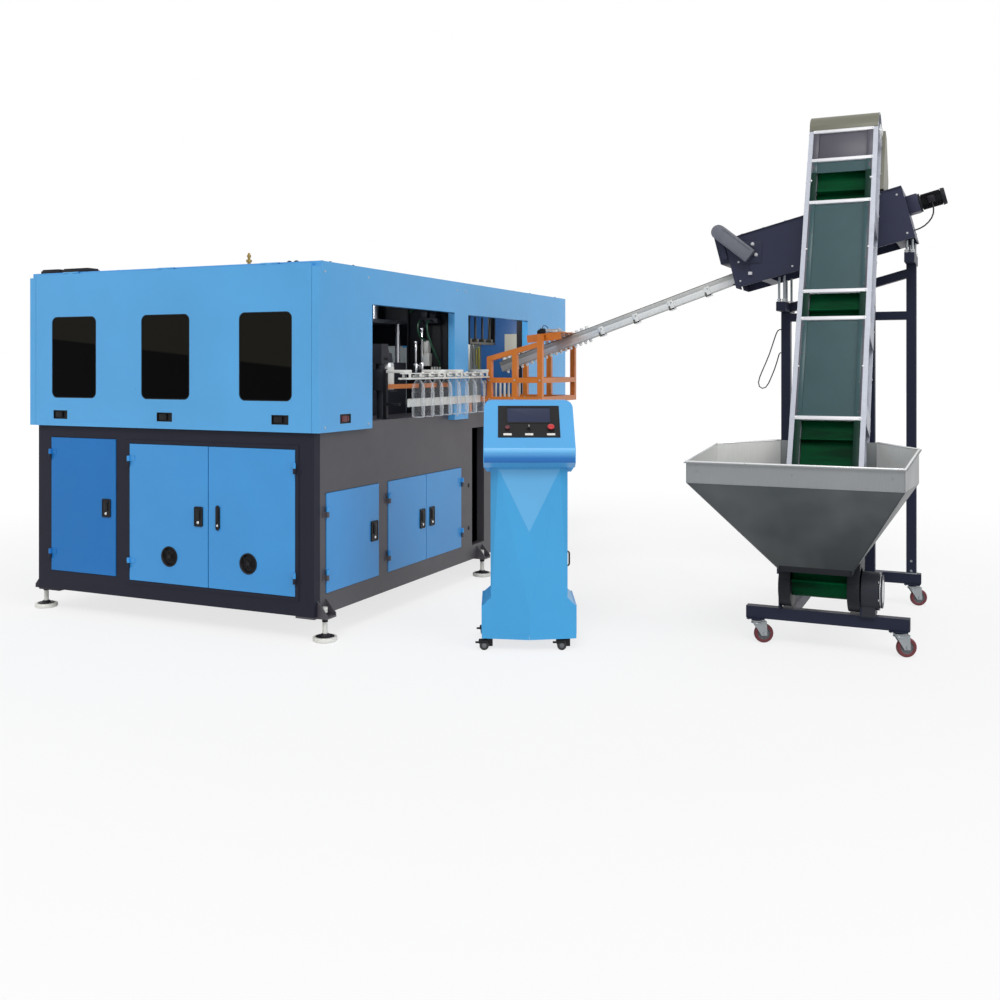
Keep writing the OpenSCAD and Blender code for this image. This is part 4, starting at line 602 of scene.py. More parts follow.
def door_lock(name, place, way, w, h, node, slim=False):
    """Swing handle in a black dish over the door's lock plate, with its key cylinder below."""
    face = MM @ spot(*place, way)
    corner = w / 2 if slim else 9
    rim = 1 if slim else 5
    dish = Shop(face).slab(w + rim, h + rim, corner, 8, UP, 1.5, hollow=7)
    dish.slab(w - 4, h - 4, corner - 4, 5.8, UP)
    dish.slab(w * 0.46, h * 0.5, 4, 12, spot(0, h * 0.1, 0), 3)
    dish.slab(w * 0.6, h * 0.14, 4, 9, spot(0, h * 0.36, 0), 2)
    dish.done(name, "black_plastic", body_of[node])
    r = min(9, w * 0.26)
    key = Shop(face).turned([(0, 5), (r, 5), (r, 10), (r - 1.5, 11.5), (r * 0.5, 11.5), (r * 0.45, 10.6),
                             (0, 10.6)], (0, -h * 0.31, 0))
    key.block((-1, -h * 0.31 - r * 0.4, 10), (1, -h * 0.31 + r * 0.4, 11), 0.2)
    key.done(name + "_key", "chrome", body_of[node])


door_lock("left_door_lock", (-1608, 20, 696), TO_FRONT, 64, 110, "front_door_left")
door_lock("centre_door_lock", (-877.2, 20, 683.5), TO_FRONT, 59, 115, "front_door_centre")
door_lock("right_door_lock", (-732.2, 20, 683.5), TO_FRONT, 29, 149, "front_door_right", slim=True)
door_lock("near_side_lock", (-45, 683, 557.5), TO_SIDE, 78, 123, "side_door_near")
door_lock("middle_side_lock", (-45, 1318, 553.5), TO_SIDE, 66, 127, "side_door_middle")
door_lock("far_side_lock", (-45, 1457.5, 553.5), TO_SIDE, 63, 127, "side_door_far")


def round_vent(name, x, node):
    """Black rim with concentric wires over a dark fan box in the door's round hole."""
    face = MM @ spot(x, 20, 425, TO_FRONT)
    rim = Shop(face).turned([(50, -4), (62, 0), (63, 3), (60, 5), (56, 5), (52, 1)], (0, 0, 0), sides=40,
                            ring=True)
    for r in (14, 23, 32, 41):
        wire = [(r + 1.6 * cos(a * pi / 4), 2 + 1.6 * sin(a * pi / 4)) for a in range(8)]
        rim.turned(wire, (0, 0, 0), sides=36, ring=True)
    for turn in (45, 135):
        reach = Vector((cos(radians(turn)), sin(radians(turn)), 0)) * 54
        rim.rod(-reach + Vector((0, 0, 1)), reach + Vector((0, 0, 1)), 1.8, sides=8)
    rim.turned([(0, 4), (12, 4), (13, 2), (13, -3), (0, -3)], (0, 0, 0), sides=24)
    rim.turned([(0, -20), (50, -20), (57, -16), (57, -1), (52, -1), (50, -14), (0, -14)], (0, 0, 0), sides=32)
    for i in range(5):
        blade = Matrix.Rotation(radians(72 * i), 4, "Z") @ Matrix.Rotation(0.12, 4, "X")
        rim.block((10, -7, -13), (44, 7, -11), 0.5, blade)
    rim.done(name, "black_plastic", body_of[node])


round_vent("centre_door_vent", -1103.7, "front_door_centre")
round_vent("right_door_vent", -510, "front_door_right")

plugs = Shop()
for z in (389, 706):
    plugs.turned([(0, 5), (8, 4.6), (15, 2.5), (17, 0), (13, -3), (0, -3)], (-50, 2055, z), RIGHTWARD)
plugs.done("side_plugs", "black_plastic")

latches = Shop()
seals = Shop()
for i, glass_left in enumerate((-563, -1309, -2055)):
    x = -330 - 856 * i
    latches.slab(126, 62, 10, 2.6, spot(x + 60, 3, LATCH_HEIGHT, TO_FRONT), 1, hollow=7)
    latches.block((x + 14, 4, 1266), (x + 72, 14, 1298), 3)
    latches.block((x + 16, 2.5, 1292), (x + 70, 8, 1299), 1.5)
    seals.slab(376, 521, 40, 2.7, spot(glass_left + 188.5, 3.1, 1651, TO_FRONT), 1, hollow=5.5)
latches.done("front_latch_cups", "black_plastic", "front_guard_leaf")
seals.done("window_seals", "black_plastic", "front_guard_leaf")

cup = Shop().slab(122, 58, 8, 5, spot(-5.8, 280, LATCH_HEIGHT, TO_SIDE), 1, hollow=6)
cup.slab(112, 48, 5, 0.8, spot(-5.8, 280, LATCH_HEIGHT, TO_SIDE))
cup.done("side_latch_cup", "black_plastic")
Shop().blocks(1.5, ((-5, 240, 1264), (-0.6, 296, 1300)), ((-5, 300, 1268), (-1.5, 322, 1296))).done(
    "side_latch_paddle", "button_red", finish="deep_red")

# Roof

roof = Shop()
for x0, x1, y1 in ((-2220, -2062, 176), (-2032, -1809, 168)):
    roof.blocks(4, ((x0, 62, ROOF), (x1, y1, ROOF + 21)),
                ((x0 + 6, 68, ROOF + 20), (x1 - 6, y1 - 6, ROOF + 30)))
for x in (-245, -196):
    roof.turned([(0, 12), (9, 10), (15, 4), (16, 0), (0, 0)], (x, 60, ROOF))
for y in (149, 399, 3166, 3740):
    roof.bolt((-22, y, ROOF), UPWARD, 8, 5)
roof.done("roof_covers", "frame_dark")
Shop().turned([(0, 69), (6, 69), (7, 66), (7, 58), (12, 56), (12, 44), (8, 42), (8, 30), (17, 28), (17, 14),
               (10, 12), (10, 0), (0, 0)], (-535, 60, ROOF)).done("roof_valve", "steel", finish="brass")

bolts = Shop()
for y in (3361, 3762):
    bolts.bolt((0, y, 1934), RIGHTWARD, 6, 4)
for y in (60, 540, 1760, 1900, 3110, 3890):
    for z in (1240, 2140):
        bolts.bolt((0, y, z), RIGHTWARD, 5, 3)
bolts.done("side_wall_bolts", "steel", finish="bolt")

# Back, left side and roof: bolted covers with louvres, seam strips, supply fittings and lifting eyes

covers = Shop()
louvres = Shop()
fixings = Shop()


def bolted_cover(centre, way, w, h):
    """Removable sheet with a bolt at its corners and edges, and louvres pressed in its lower part."""
    face = spot(*centre, way)
    out = way.to_3x3() @ Vector(UPWARD)
    covers.slab(w, h, 18, 4, face, 1.5)
    for sx in (-1, 1):
        for sz in (-1, 0, 1):
            fixings.bolt(face @ Vector((sx * (w / 2 - 26), sz * (h / 2 - 26), 4)), out, 7, 4)
    for i in range(7):
        z = 90 - h / 2 + 34 * i
        covers.block((-w * 0.32, z, 3.5), (w * 0.32, z + 13, 10), 3, face)


for y in (700, 1970, 3240):
    bolted_cover((-2198, y, 700), TO_LEFT, 1050, 700)
    for i in range(6):
        louvres.block((-210, 12 + 32 * i, -0.5), (210, 24 + 32 * i, 6), 3, spot(LEFT_WALL, y, 1890, TO_LEFT))
for x in (-1650, -600):
    bolted_cover((x, BACK_WALL, 700), TO_BACK, 880, 700)
for y in (1310, 2620):
    louvres.slab(34, 930, 4, 2, spot(LEFT_WALL, y, 1690, TO_LEFT), 0.6)
    louvres.slab(2150, 34, 4, 2, spot(LEFT_WALL / 2, y, ROOF), 0.6)
    for z in (1250, 1690, 2130):
        fixings.bolt((LEFT_WALL - 2, y, z), LEFTWARD, 5, 3)
    for x in (-2150, -1460, -770, -100):
        fixings.bolt((x, y, ROOF + 2), UPWARD, 5, 3)
for y in range(200, 3900, 430):
    for z in (1240, 2140):
        fixings.bolt((LEFT_WALL, y, z), LEFTWARD, 5, 3)
for x in (-1950, -300):
    for y in (480, 3460):
        fixings.turned([(0, 0), (26, 0), (26, 5), (17, 9), (14, 20), (0, 20)], (x, y, ROOF))
        turns = [radians(a) for a in range(-90, 271, 24)]
        fixings.pipe([(x + 17 * cos(a), y, ROOF + 32 + 17 * sin(a)) for a in turns], 6)
covers.done("rear_covers", "base_slate")
louvres.done("left_louvres", "cabinet_blue")
fixings.done("rear_fixings", "steel", finish="bolt")
supply = Shop().turned([(0, 0), (24, 0), (24, 6), (17, 8), (17, 16), (12, 17), (12, 28), (8, 28), (8, 18),
                        (0, 18)], (-600, BACK_WALL, 275), BACKWARD)
supply.turned([(0, 0), (20, 0), (20, 8), (15, 10), (15, 22), (9, 27), (0, 27)], (-760, BACK_WALL, 275),
              BACKWARD, 6)
supply.done("supply_fittings", "steel", finish="brass")

# Levelling feet: a dished dark top on a pale pad

feet = Shop()
dishes = Shop()
for x in (-30, -2218):
    for y in (107, 2247, 3838):
        feet.turned([(0, 0), (66, 0), (72, 5), (72, 20), (69, 25), (60, 27), (52, 26), (20, 24), (0, 24)],
                    (x, y, 0), sides=40)
        feet.rod((x, y, 24), (x, y, 196), 14.5, sides=20)
        for z in range(30, 190, 7):
            feet.turned([(14.4, z), (15.6, z + 1.8), (15.6, z + 3), (14.4, z + 4.8)], (x, y, 0), sides=20,
                        ring=True)
        dishes.turned([(0, 26.6), (56, 27.4), (50, 31), (36, 32), (30, 30), (22, 42), (15, 43), (0, 43)],
                      (x, y, 0), sides=36)
        for z0 in (110, 146):
            dishes.turned([(14.6, 0), (19, 0), (19, 20), (14.6, 20)], (x, y, z0), sides=6, ring=True)
feet.done("levelling_pads", "white_plastic", stands_for=("levelling_feet",), finish="foot_cream")
dishes.done("pad_dishes", "frame_dark")

# Behind the front doors: fronts, levers and wiring ducts of the controls

modules = Shop()
levers = Shop()
ducts = Shop()
for k in range(4):
    z = 380 + 180 * k
    for i in range(6):
        x0, x1 = -1340 + 155 * i, -1250 + 155 * i + 15 * (i % 3)
        modules.block((x0 + 4, 319, z - 20), (x1 - 4, 326, z + 65), 2)
        for j in range(3):
            levers.block((x0 + 14 + 24 * j, 313, z + 14), (x0 + 26 + 24 * j, 320, z + 34), 2)
    ducts.block((-1385, 352, z + 80), (-435, 399, z + 128), 3)
    for i in range(46):
        ducts.block((-1376 + 20 * i, 350.5, z + 84), (-1366 + 20 * i, 353, z + 124), 0.4)
modules.done("control_fronts", "frame_dark", finish="dark_panel")
levers.done("control_levers", "button_red", finish="deep_red")
ducts.done("control_ducts", "white_plastic", finish="hub_grey")

# Inside the near opening

works = Shop()
works.blocks(1.5, ((-430, 1826, BASE_TOP), (-100, 1834, 2040)), ((-430, 1790, BASE_TOP), (-418, 1834, 2040)),
             ((-1240, 1826, 1745), (-428, 1834, 2120)), ((-1240, 640, 1745), (-1232, 1834, 2120)))
works.blocks(3, ((-230, 1140, 1990), (-190, 1760, 2030)), ((-800, 620, 2060), (-60, 650, 2110)),
             ((-800, 1690, 2060), (-60, 1720, 2110)))
works.done("valve_board", "frame_dark")
rods = Shop()
holders = Shop()
for x, y, z0, z1 in ((-300, 1787, 1561, 1874), (-340, 1765, 1552, 1778)):
    for low, high, r, soft in ((z0, z1, 11, 1), (z0 - 30, z0 + 60, 20, 2), (z1 - 26, z1, 16, 2)):
        rods.rod((x, y, low), (x, y, high), r, soft=soft)
    for z in (z0 + 10, z1 - 20):
        holders.block((x - 18, y - 8, z), (x + 18, 1827, z + 22), 3)
rods.done("air_rods", "chrome")
canister = (-150, 1025, 0)
Shop().turned([(0, 1437), (42, 1437), (45, 1440), (45, 1606), (40, 1616), (30, 1621), (0, 1621)], canister,
              sides=36).done("air_canister", "steel", finish="bolt")
holders.rod((-150, 1025, 1619), (-150, 1025, 1682), 38, 30, 30, 4)
holders.rod((-150, 1025, 1682), (-150, 1025, 1702), 12, sides=16, soft=2)
holders.block((-196, 960, 1425), (-104, 1072, 1437), 2)
holders.block((-150, 925, 1630), (-120, 1020, 1654), 3)
holders.blocks(4, ((-300, 1740, 1905), (-150, 1826, 1945)), ((-290, 1752, 1945), (-240, 1816, 1990)),
               ((-220, 1752, 1945), (-170, 1816, 1990)))
for x in (-265, -195):
    holders.rod((x, 1740, 1925), (x, 1706, 1925), 9)
holders.done("valve_blocks", "cast")
fittings = Shop()
fittings.block((-286, 1775, 1596), (-236, 1826, 1690), 4)
fittings.block((-280, 1768, 1690), (-242, 1818, 1781), 6)
fittings.turned([(45, 1470), (46, 1471), (46, 1589), (45, 1590)], canister, sides=36, ring=True)
for x in range(-160, -227, -22):
    fittings.rod((x, 1805, 1560), (x, 1805, 1590), 7, sides=12, soft=1)
fittings.done("white_fittings", "white_plastic")
hoses = Shop()
hoses.pipe([(-265, 1706, 1925), (-265, 1690, 1922), (-266, 1672, 1908), (-268, 1664, 1880),
            (-268, 1672, 1840), (-264, 1700, 1806), (-262, 1735, 1790), (-261, 1770, 1778)], 7)
hoses.pipe([(-195, 1706, 1925), (-195, 1680, 1918), (-194, 1660, 1890), (-190, 1668, 1830),
            (-180, 1712, 1740), (-168, 1770, 1660), (-160, 1800, 1612), (-160, 1805, 1588)], 7)
hoses.pipe([(-420, 1822, 1990), (-380, 1800, 2012), (-320, 1790, 2020), (-260, 1788, 2010),
            (-248, 1786, 1990)], 8)
hoses.done("green_hoses", "belt_green", finish="hose_green")

# Inside the far opening: lamp column, back panel, pipework

column = Shop().block((-560, 2905, BASE_TOP), (-450, 3115, 1800), 5)
column.block((-450, 2950, 1500), (-438, 3100, 1790), 3)
column.done("lamp_column", "oven_grey")
tube = Shop().rod((-432, 3033, 1570), (-432, 3033, 1757), 9, sides=16, soft=2)
tube.rod((-432, 2985, 1600), (-432, 2985, 1740), 5, sides=12, soft=1)
tube.done("lamp_tube", "white_plastic", finish="lamp_yellow")
# A thin sheet on the inside of the back wall, painted darker: painted shade in the far opening.
Shop().block((-1150, 3905, 1260), (-60, 3912, 2160), 1).done(
    "back_wall_painted_shade_sheet", "cabinet_blue", finish="inner_painted_shade_blue")
Shop().block((-572, 3880, 1640), (-440, 3905, 1890), 4).done("back_board", "panel_beige")
pipes = Shop()
for y in (2357, 2480, 2610, 2747):
    pipes.rod((-200, y, 1800), (-200, y, 1976), 9, sides=14, soft=1)
    pipes.block((-224, y - 20, 1780), (-176, y + 20, 1812), 4)
    pipes.rod((-200, y, 1976), (-200, y, 2062), 5, sides=10)
pipes.block((-230, 2320, 2050), (-170, 2790, 2090), 4).block((-230, 2330, 1764), (-170, 2780, 1784), 3)
pipes.done("heater_headers", "steel", finish="rail_top")
Shop().blocks(3, ((-230, 2312, 1764), (-170, 2332, 2120)), ((-230, 2778, 1764), (-170, 2798, 2120)),
              ((-230, 2300, 2110), (-50, 2340, 2140)), ((-230, 2770, 2110), (-50, 2810, 2140))).done(
    "header_stays", "frame_dark")

# Bottles, preforms and what carries them

neck = [(19, 0), (19, 3), (13, 3.4), (13, 8), (14.2, 9), (13, 11), (14.2, 13), (13, 15), (13, 20)]
bottles = Shop()
grips = Shop().block((62, 822, 1543), (98, 2081, 1550), 1.5)
for i in range(8):
    y = 1035 + 132 * i
    bottles.turned([(0, -254), (18, -256), (30, -262), (38, -260), (43, -250), (44, -238), (42.5, -226),
                    (44, -214), (44, -176), (42.3, -170), (44, -164), (42.3, -152), (44, -146), (42.3, -134),
                    (44, -128), (44, -100), (41, -95), (41, -88), (43.6, -82), (42, -66), (35, -46),
                    (25, -28), (16, -14), (12.6, -8), (12.6, 0), *neck, (0, 20)], (80, y, 1520))
    for s in (-1, 1):
        grips.block((80 + s * 14 - 5, y - 15, 1524), (80 + s * 14 + 5, y + 15, 1544), 2)
        grips.block((80 + s * 24 - 9, y - 21, 1524), (80 + s * 24 + 9, y + 21, 1534), 2)
    grips.rod((80, y + 60, 1538), (80, y + 60, 1556), 9, sides=14, soft=1.5)
preforms = Shop(RAIL)
for i in range(18):
    x = 40 + 42 * i
    preforms.turned([(0, -105), (7, -103.5), (11, -98), (12, -90), (12, 0), *neck, (9.5, 20), (9.5, -92),
                     (0, -98)], (x, 0, 0.3), sides=20)
bottles.done("hanging_bottles", "clear_pet", stands_for=("bottles_and_preforms",))
preforms.done("rail_preforms", "clear_pet", finish="preform_skin")
grips.done("neck_grips", "white_plastic")
guides = Shop()
arms = Shop()
for s in (-1, 1):
    guides.block((80 + s * 23 - 8, 820, 1508), (80 + s * 23 + 8, 2083, 1519.7), 2)
guides.block((30, 975, 1327), (34, 2083, 1381), 1)
guides.block((30, 975, 1376), (40, 2083, 1381), 1)
for y in (880, 1365, 1629, 2053):
    arms.block((-89, y - 12, BASE_TOP), (-65, y + 12, 1570), 1.5)
    arms.block((-96, y - 22, BASE_TOP), (-58, y + 22, 1256), 1)
    arms.block((-70, y - 8, 1340), (30, y + 8, 1356), 1.5)
    guides.block((-70, y - 12, 1550), (111, y + 12, 1570), 2)
    for s in (-1, 1):
        guides.block((80 + s * 23 - 4, y - 12, 1518.7), (80 + s * 23 + 4, y + 12, 1551), 1)
guides.done("outfeed_guides", "white_plastic", stands_for=("outfeed_rail",))
arms.done("outfeed_posts", "frame_dark")

# Preform rail: dark lip, grey strip, pale skirt and a grey foot on each side

strips = {finish: Shop(RAIL) for finish in ("rail_grey", "rail_bright", "rail_top")}
foot_places = [share * RAIL_LENGTH for share in (0.43, 0.573, 0.716, 0.859)]


def rail_strip(finish, s, y0, y1, z0, z1, x0=0, x1=RAIL_LENGTH, soft=0.6):
    near, far = sided(s, y0, y1)
    strips[finish].block((x0, near, z0), (x1, far, z1), soft)


for s in (-1, 1):
    rail_strip("rail_top", s, 14, 22.3, -5, 0)
    rail_strip("rail_grey", s, 14, 22, -34, -5)
    rail_strip("rail_bright", s, 15, 21.4, -77, -34)
    rail_strip("rail_grey", s, 14, 22.4, -80, -75)
    for x in foot_places:
        rail_strip("rail_bright", s, 22, 30, -94, -24, x, x + 40, 2)
        rail_strip("rail_top", s, 22, 30.6, -94, -60, x - 2, x + 13, 2)
        strips["rail_grey"].bolt((x + 27, s * 30, -40), (0, s, 0), 5, 3)
    rail_strip("rail_top", s, 22, 62, -88, -80, 1895, 1944, 1)
for x in foot_places:
    strips["rail_bright"].block((x, -30, -94), (x + 40, 30, -81), 2)
strips["rail_grey"].block((10, -13.6, -78), (1940, 13.6, -74), 0.5)
strips["rail_grey"].done("rail_strips", "aluminium", stands_for=("preform_rail",), finish="rail_grey")
strips["rail_bright"].done("rail_skirts", "aluminium", finish="rail_bright")
strips["rail_top"].done("rail_lips", "aluminium", finish="rail_top")

# Cage: air cylinder and valve on its sloped cover, reject bars between its lower beams

Shop().block((411, 2285, 1826), (479, 2322, 1868), 4).block((424, 2290, 1866), (462, 2316, 1876), 3).block(
    (402, 2292, 1835), (412, 2314, 1858), 2).done("cage_valve", "black_plastic")
drive = Shop().rod((482, 2303, 1850), (578, 2303, 1850), 20, sides=28, soft=2)
drive.blocks(2, ((474, 2280, 1828), (490, 2326, 1873)), ((572, 2280, 1832), (588, 2326, 1873)))
for y in (2285, 2321):
    for z in (1834, 1868):
        drive.rod((474, y, z), (590, y, z), 2.4, sides=8)
drive.rod((588, 2303, 1850), (620, 2303, 1850), 6, sides=16, soft=1)
drive.done("cage_cylinder", "steel")
Shop().pipe([(445, 2303, 1875), (444, 2303, 1890), (452, 2306, 1898), (470, 2312, 1894), (480, 2318, 1880),
             (481, 2318, 1872)], 3, 8).done("cage_hose", "cable_black")
bars = Shop().blocks(1, ((44, 2129, 1342), (56, 2771, 1354)), ((44, 2129, 1470), (56, 2771, 1478)))
for i in range(6):
    bars.rod((50, 2240 + 81 * i, 1352), (50, 2240 + 81 * i, 1472), 10, sides=16, soft=1)
bars.blocks(1, ((44, 2110, 1342), (56, 2131, 1490)), ((44, 2769, 1342), (56, 2792, 1490)))
bars.done("reject_bars", "white_plastic")
caps = Shop()
for x in (100, 305, 505):
    for y in (2110, 2790):
        for z in (1490, 1350):
            caps.bolt((x, y - 19, z), FORWARD, 5, 3)
caps.done("cage_bolts", "steel", finish="bolt")

# Sorter: kicker bar on its bracket, ribbed motor, bolts and top flanges

bar = Shop(SORTER @ Matrix.Translation((154, -66, 179)) @ Matrix.Rotation(radians(-126.6), 4, "Y"))
bar.block((0, 2, -50), (277, 65.7, 50), 5)
bar.rod((277, 1.4, 0), (277, 65.9, 0), 49.6, sides=36, soft=3)
bar.block((24, -2, -40), (262, 3, -34), 1).block((24, -2, 34), (262, 3, 40), 1)
bar.done("kicker_bar", "sorter_slate", finish="bar_grey")
box = Shop(SORTER)
box.block((-66, 20, 190), (-0.3, 400, 400), 5)
box.block((-60, 30, 398), (-6, 390, 403), 2)
box.block((-40, -8, 214), (-4, 22, 330), 3)
box.block((SORTER_END, 148, 177), (1264, 272, 297), 6)
motor = Shop(SORTER)
motor.rod((1264, MOTOR_LINE, AXLE), (1276, MOTOR_LINE, AXLE), 62, sides=40, soft=2)
motor.rod((1276, MOTOR_LINE, AXLE), (1404, MOTOR_LINE, AXLE), 44, sides=40)
for i in range(30):
    turn = Matrix.Translation((0, MOTOR_LINE, AXLE)) @ Matrix.Rotation(radians(12 * i), 4, "X")
    motor.block((1280, -1.2, 42), (1402, 1.2, 52), 0.5, turn)
motor.rod((1404, MOTOR_LINE, AXLE), (1430, MOTOR_LINE, AXLE), 57, 54, 40, 3)
for i in range(9):
    motor.rod((1429, MOTOR_LINE, AXLE), (1430.5, MOTOR_LINE, AXLE), 50 - 5 * i, sides=24)
motor.block((1318, 124, 211), (1362, 168, 251), 4)
motor.block((1322, 122, 215), (1358, 126, 247), 2)
motor.rod((1340, 154, 211), (1340, 154, 206), 8, sides=6)
box.rod((SORTER_END, 170, 66), (1196, 170, 66), 8, sides=16, soft=1)
box.done("sorter_drives", "sorter_slate", stands_for=("unscrambler_drives",))
motor.done("sorter_motor", "frame_dark")
trim = Shop(SORTER)
for x in range(130, 1180, 150):
    for y in (-4, 427):
        trim.bolt((x, y, 348), UPWARD, 5, 3)
for x, z in ((40, 40), (40, 300), (1150, 40), (1150, 300), (400, 40), (780, 40), (60, 170)):
    for y, way in ((0, FORWARD), (420, BACKWARD)):
        trim.bolt((x, y, z), way, 5, 3)
for y, z in ((60, 60), (360, 60), (60, 330), (360, 330)):
    trim.bolt((SORTER_END, y, z), RIGHTWARD, 5, 3)
trim.done("sorter_bolts", "steel", finish="bolt")
knobs = Shop()
for x, z in ((2013, 2428), (2036, 2355), (1958, 2333)):
    knobs.bolt((x, 2244, z), FORWARD, 9, 7)
knobs.block((1984, 2236, 2218), (2010, 2250, 2240), 3)
Shop().slab(150, 150, 20, 6, spot(2000, 2250, 2374, TO_FRONT), 1).done("kicker_bracket", "sorter_slate")
knobs.done("kicker_bolts", "steel", finish="bolt_white")
Shop(SORTER).blocks(
    1, ((0, -6, 0), (SORTER_END, 0, 5)), ((0, 420, 0), (SORTER_END, 426, 5)),
    ((112, -8.3, 343), (SORTER_END + 0.3, -0.5, 348.6)), ((120, -5, 60), (124, 0, 343)),
    ((596, -5, 5), (600, 0, 343))).done("sorter_flanges", "sorter_slate")
for node, y in (("sorting_roller_front", 152), ("sorting_roller_back", 268)):
    roller = Shop(SORTER).rod((1, y, AXLE), (1189, y, AXLE), 12, sides=20)
    profile = [(0, 12), (40, 12), (42, 14)]
    for rib in range(18, 1159, 20):
        profile += [(42, rib), (42, rib + 14), (39.5, rib + 15), (39.5, rib + 18)]
    profile += [(42, 1176), (40, 1178), (0, 1178)]
    roller.turned(profile, (0, y, AXLE), RIGHTWARD)
    roller.done(node + "_ribbed", "chrome", body_of[node], stands_for=(node,))

# Elevator: white cross bars, bolts, bearings, cover strips, and the dark sheet below the head

bars_at = [share * BELT_CENTRES for share in (0.3214, 0.5363, 0.598, 0.808, 0.9124, 0.9847)]
white = Shop(ELEVATOR)
for u in bars_at:
    white.block((-188, u - 11.6, 101.5), (188, u + 11.6, 123), 1.5)
white.done("elevator_bars", "white_plastic", finish="bolt_white")
steel = Shop(ELEVATOR)
for s in (-1, 1):
    for share in (0.166, 0.3214, 0.431, 0.5363, 0.598, 0.6965, 0.808, 0.862, 0.9124, 0.9847):
        u = share * BELT_CENTRES
        for place, way in (((s * FRAME_HALF, u, 95), (s, 0, 0)), ((s * FRAME_HALF, u, -95), (s, 0, 0)),
                           ((s * 185, u, 120), UPWARD)):
            steel.bolt(place, way, 6, 4)
    for u in (0, BELT_CENTRES):
        steel.turned([(0, 16), (16, 16), (22, 13), (30, 12), (34, 4), (48, 3), (50, 0), (0, 0)],
                     (s * FRAME_HALF, u, 0), (s, 0, 0))
steel.done("elevator_bolts", "steel", finish="bolt")
seams = Shop(ELEVATOR)
for s in (-1, 1):
    for u in (1000, 1560, 2330):
        seams.block((s * FRAME_HALF - 1.5, u - 60, -118), (s * FRAME_HALF + 1.5, u + 60, 118), 1)
seams.done("elevator_joints", "aluminium")
cover, belt, head = Shop(ELEVATOR), Shop(ELEVATOR), Shop(ELEVATOR)
b0, b1, b2, b3, b4, b5 = bars_at
for strip, u0, u1 in ((belt, 400, b0 - 11), (cover, b0 + 11, b1 - 11), (belt, b1 + 11, b2 - 11),
                      (cover, b2 + 11, b3 - 11), (belt, b3 + 11, b4 - 93), (cover, b4 - 93, b4 - 11),
                      (head, b4 + 11, b5 - 11)):
    for s in (-1, 1):
        x0, x1 = sided(s, 150, 187)
        strip.block((x0, u0, 119.6), (x1, u1, 121.4), 0.5)
cover.done("cover_side_strips", "cover_tint")
belt.done("belt_side_strips", "belt_green", finish="strip_green")
head.done("head_side_strips", "frame_dark", finish="dark_panel")
Shop(ELEVATOR).block((-214, 2979, 100), (214, 3020, 124), 1.5).done("head_lip", "head_olive")
cheeks = Shop(ELEVATOR)
for s in (-1, 1):
    x0, x1 = sided(s, 153, 218)
    cheeks.rod((s * 153, 0, 0), (s * 218, 0, 0), 122.5, sides=48, soft=2)
    cheeks.block((x0, 0, -122.4), (x1, 210, 122.4), 2)
cheeks.block((-153, 60, 84), (153, 120, 122), 2)
cheeks.done("tail_cheeks", "cast", finish="tail_dark")
Shop().blocks(2, ((2430, 872, 462), (2810, 884, 512)), ((2426, 872, 462), (2436, 1010, 512)),
              ((2804, 872, 462), (2814, 1010, 512))).done("neck_skirt", "cast", finish="tail_dark")
Shop(ELEVATOR).block((-153, 2763, 110), (153, 2957, 113.6), 1).done(
    "head_sheet", "frame_dark", finish="dark_panel")
edge = Shop(ELEVATOR)
for u0, u1 in ((980, 1606), (1814, 2425), (2658, 2738)):
    for s in (-1, 1):
        edge.block((s * 182 - 5, u0, 120.5), (s * 182 + 5, u1, 122.4), 0.8)
        for k in range(4):
            u = u0 + 30 + (u1 - u0 - 60) * k / 3
            edge.rod((s * 170, u, 121), (s * 170, u, 124), 5, sides=12)
edge.done("cover_edges", "frame_dark", finish="dark_panel")
side = Shop()
side.turned([(0, 0), (60, 0), (76, -4), (92, -8), (93, -12), (40, -12), (0, -12)], (2953, 1110, 350),
            RIGHTWARD, 40)
for i in range(6):
    a = radians(60 * i + 20)
    side.bolt((2934, 1110 + 98 * cos(a), 350 + 98 * sin(a)), RIGHTWARD, 5, 3)
side.done("drive_bolts", "steel", finish="bolt")

# Hopper: rolled bright rim, bright lining, welded corner seams and the bolts on its band

outline = [(1940, 750), (3090, 750), (3130, 1250), (2896, 1400), (2344, 1400), (1997, 1250)]
inner = [(1946, 756), (3085, 756), (3124, 1246), (2893, 1394), (2347, 1394), (2002, 1246)]
sheets = ((0, 1), (1, 2), (2, 3), (4, 5), (5, 0))


def rim_at(corner, lift=0.0):
    """Where the sloping rim stands over a corner of the hopper."""
    x, y = corner
    return (x, y, 1060 + 0.14 * (y - 750) + lift)


rim = Shop()
for a, b in sheets:
    rim.rod(rim_at(outline[a]), rim_at(outline[b]), 6, sides=14, soft=1)
ball = [(0, 6.6), (3.3, 5.7), (5.7, 3.3), (6.6, 0), (5.7, -3.3), (3.3, -5.7), (0, -6.6)]
for corner in outline:
    rim.turned(ball, rim_at(corner), sides=14)
rim.done("hopper_rim", "stainless", finish="rail_bright")
lining = Shop()
for a, b in sheets:
    (x0, y0), (x1, y1) = inner[a], inner[b]
    lining.plate([(x0, y0, 946), (x1, y1, 946), rim_at(inner[b], -3), rim_at(inner[a], -3)],
                 Vector((-(y1 - y0), x1 - x0, 0)).normalized())
lining.done("hopper_lining", "stainless", finish="bright_sheet")
seam = Shop()
for (x, y), (nx, ny) in zip(outline[:2], ((2434, 880), (2806, 880))):
    seam.rod((x, y, 943), (nx, ny, 466), 2.5, sides=8)
    seam.rod((x, y, 943), rim_at((x, y)), 2.5, sides=8)
seam.rod((1940, 749, 942), (3090, 749, 942), 2.5, sides=8)
for x in (2000, 2515, 3030):
    seam.bolt((x, 750, 1010), FORWARD, 5, 3)
seam.done("hopper_seams", "stainless")

# Stand: end caps, gussets and bolts

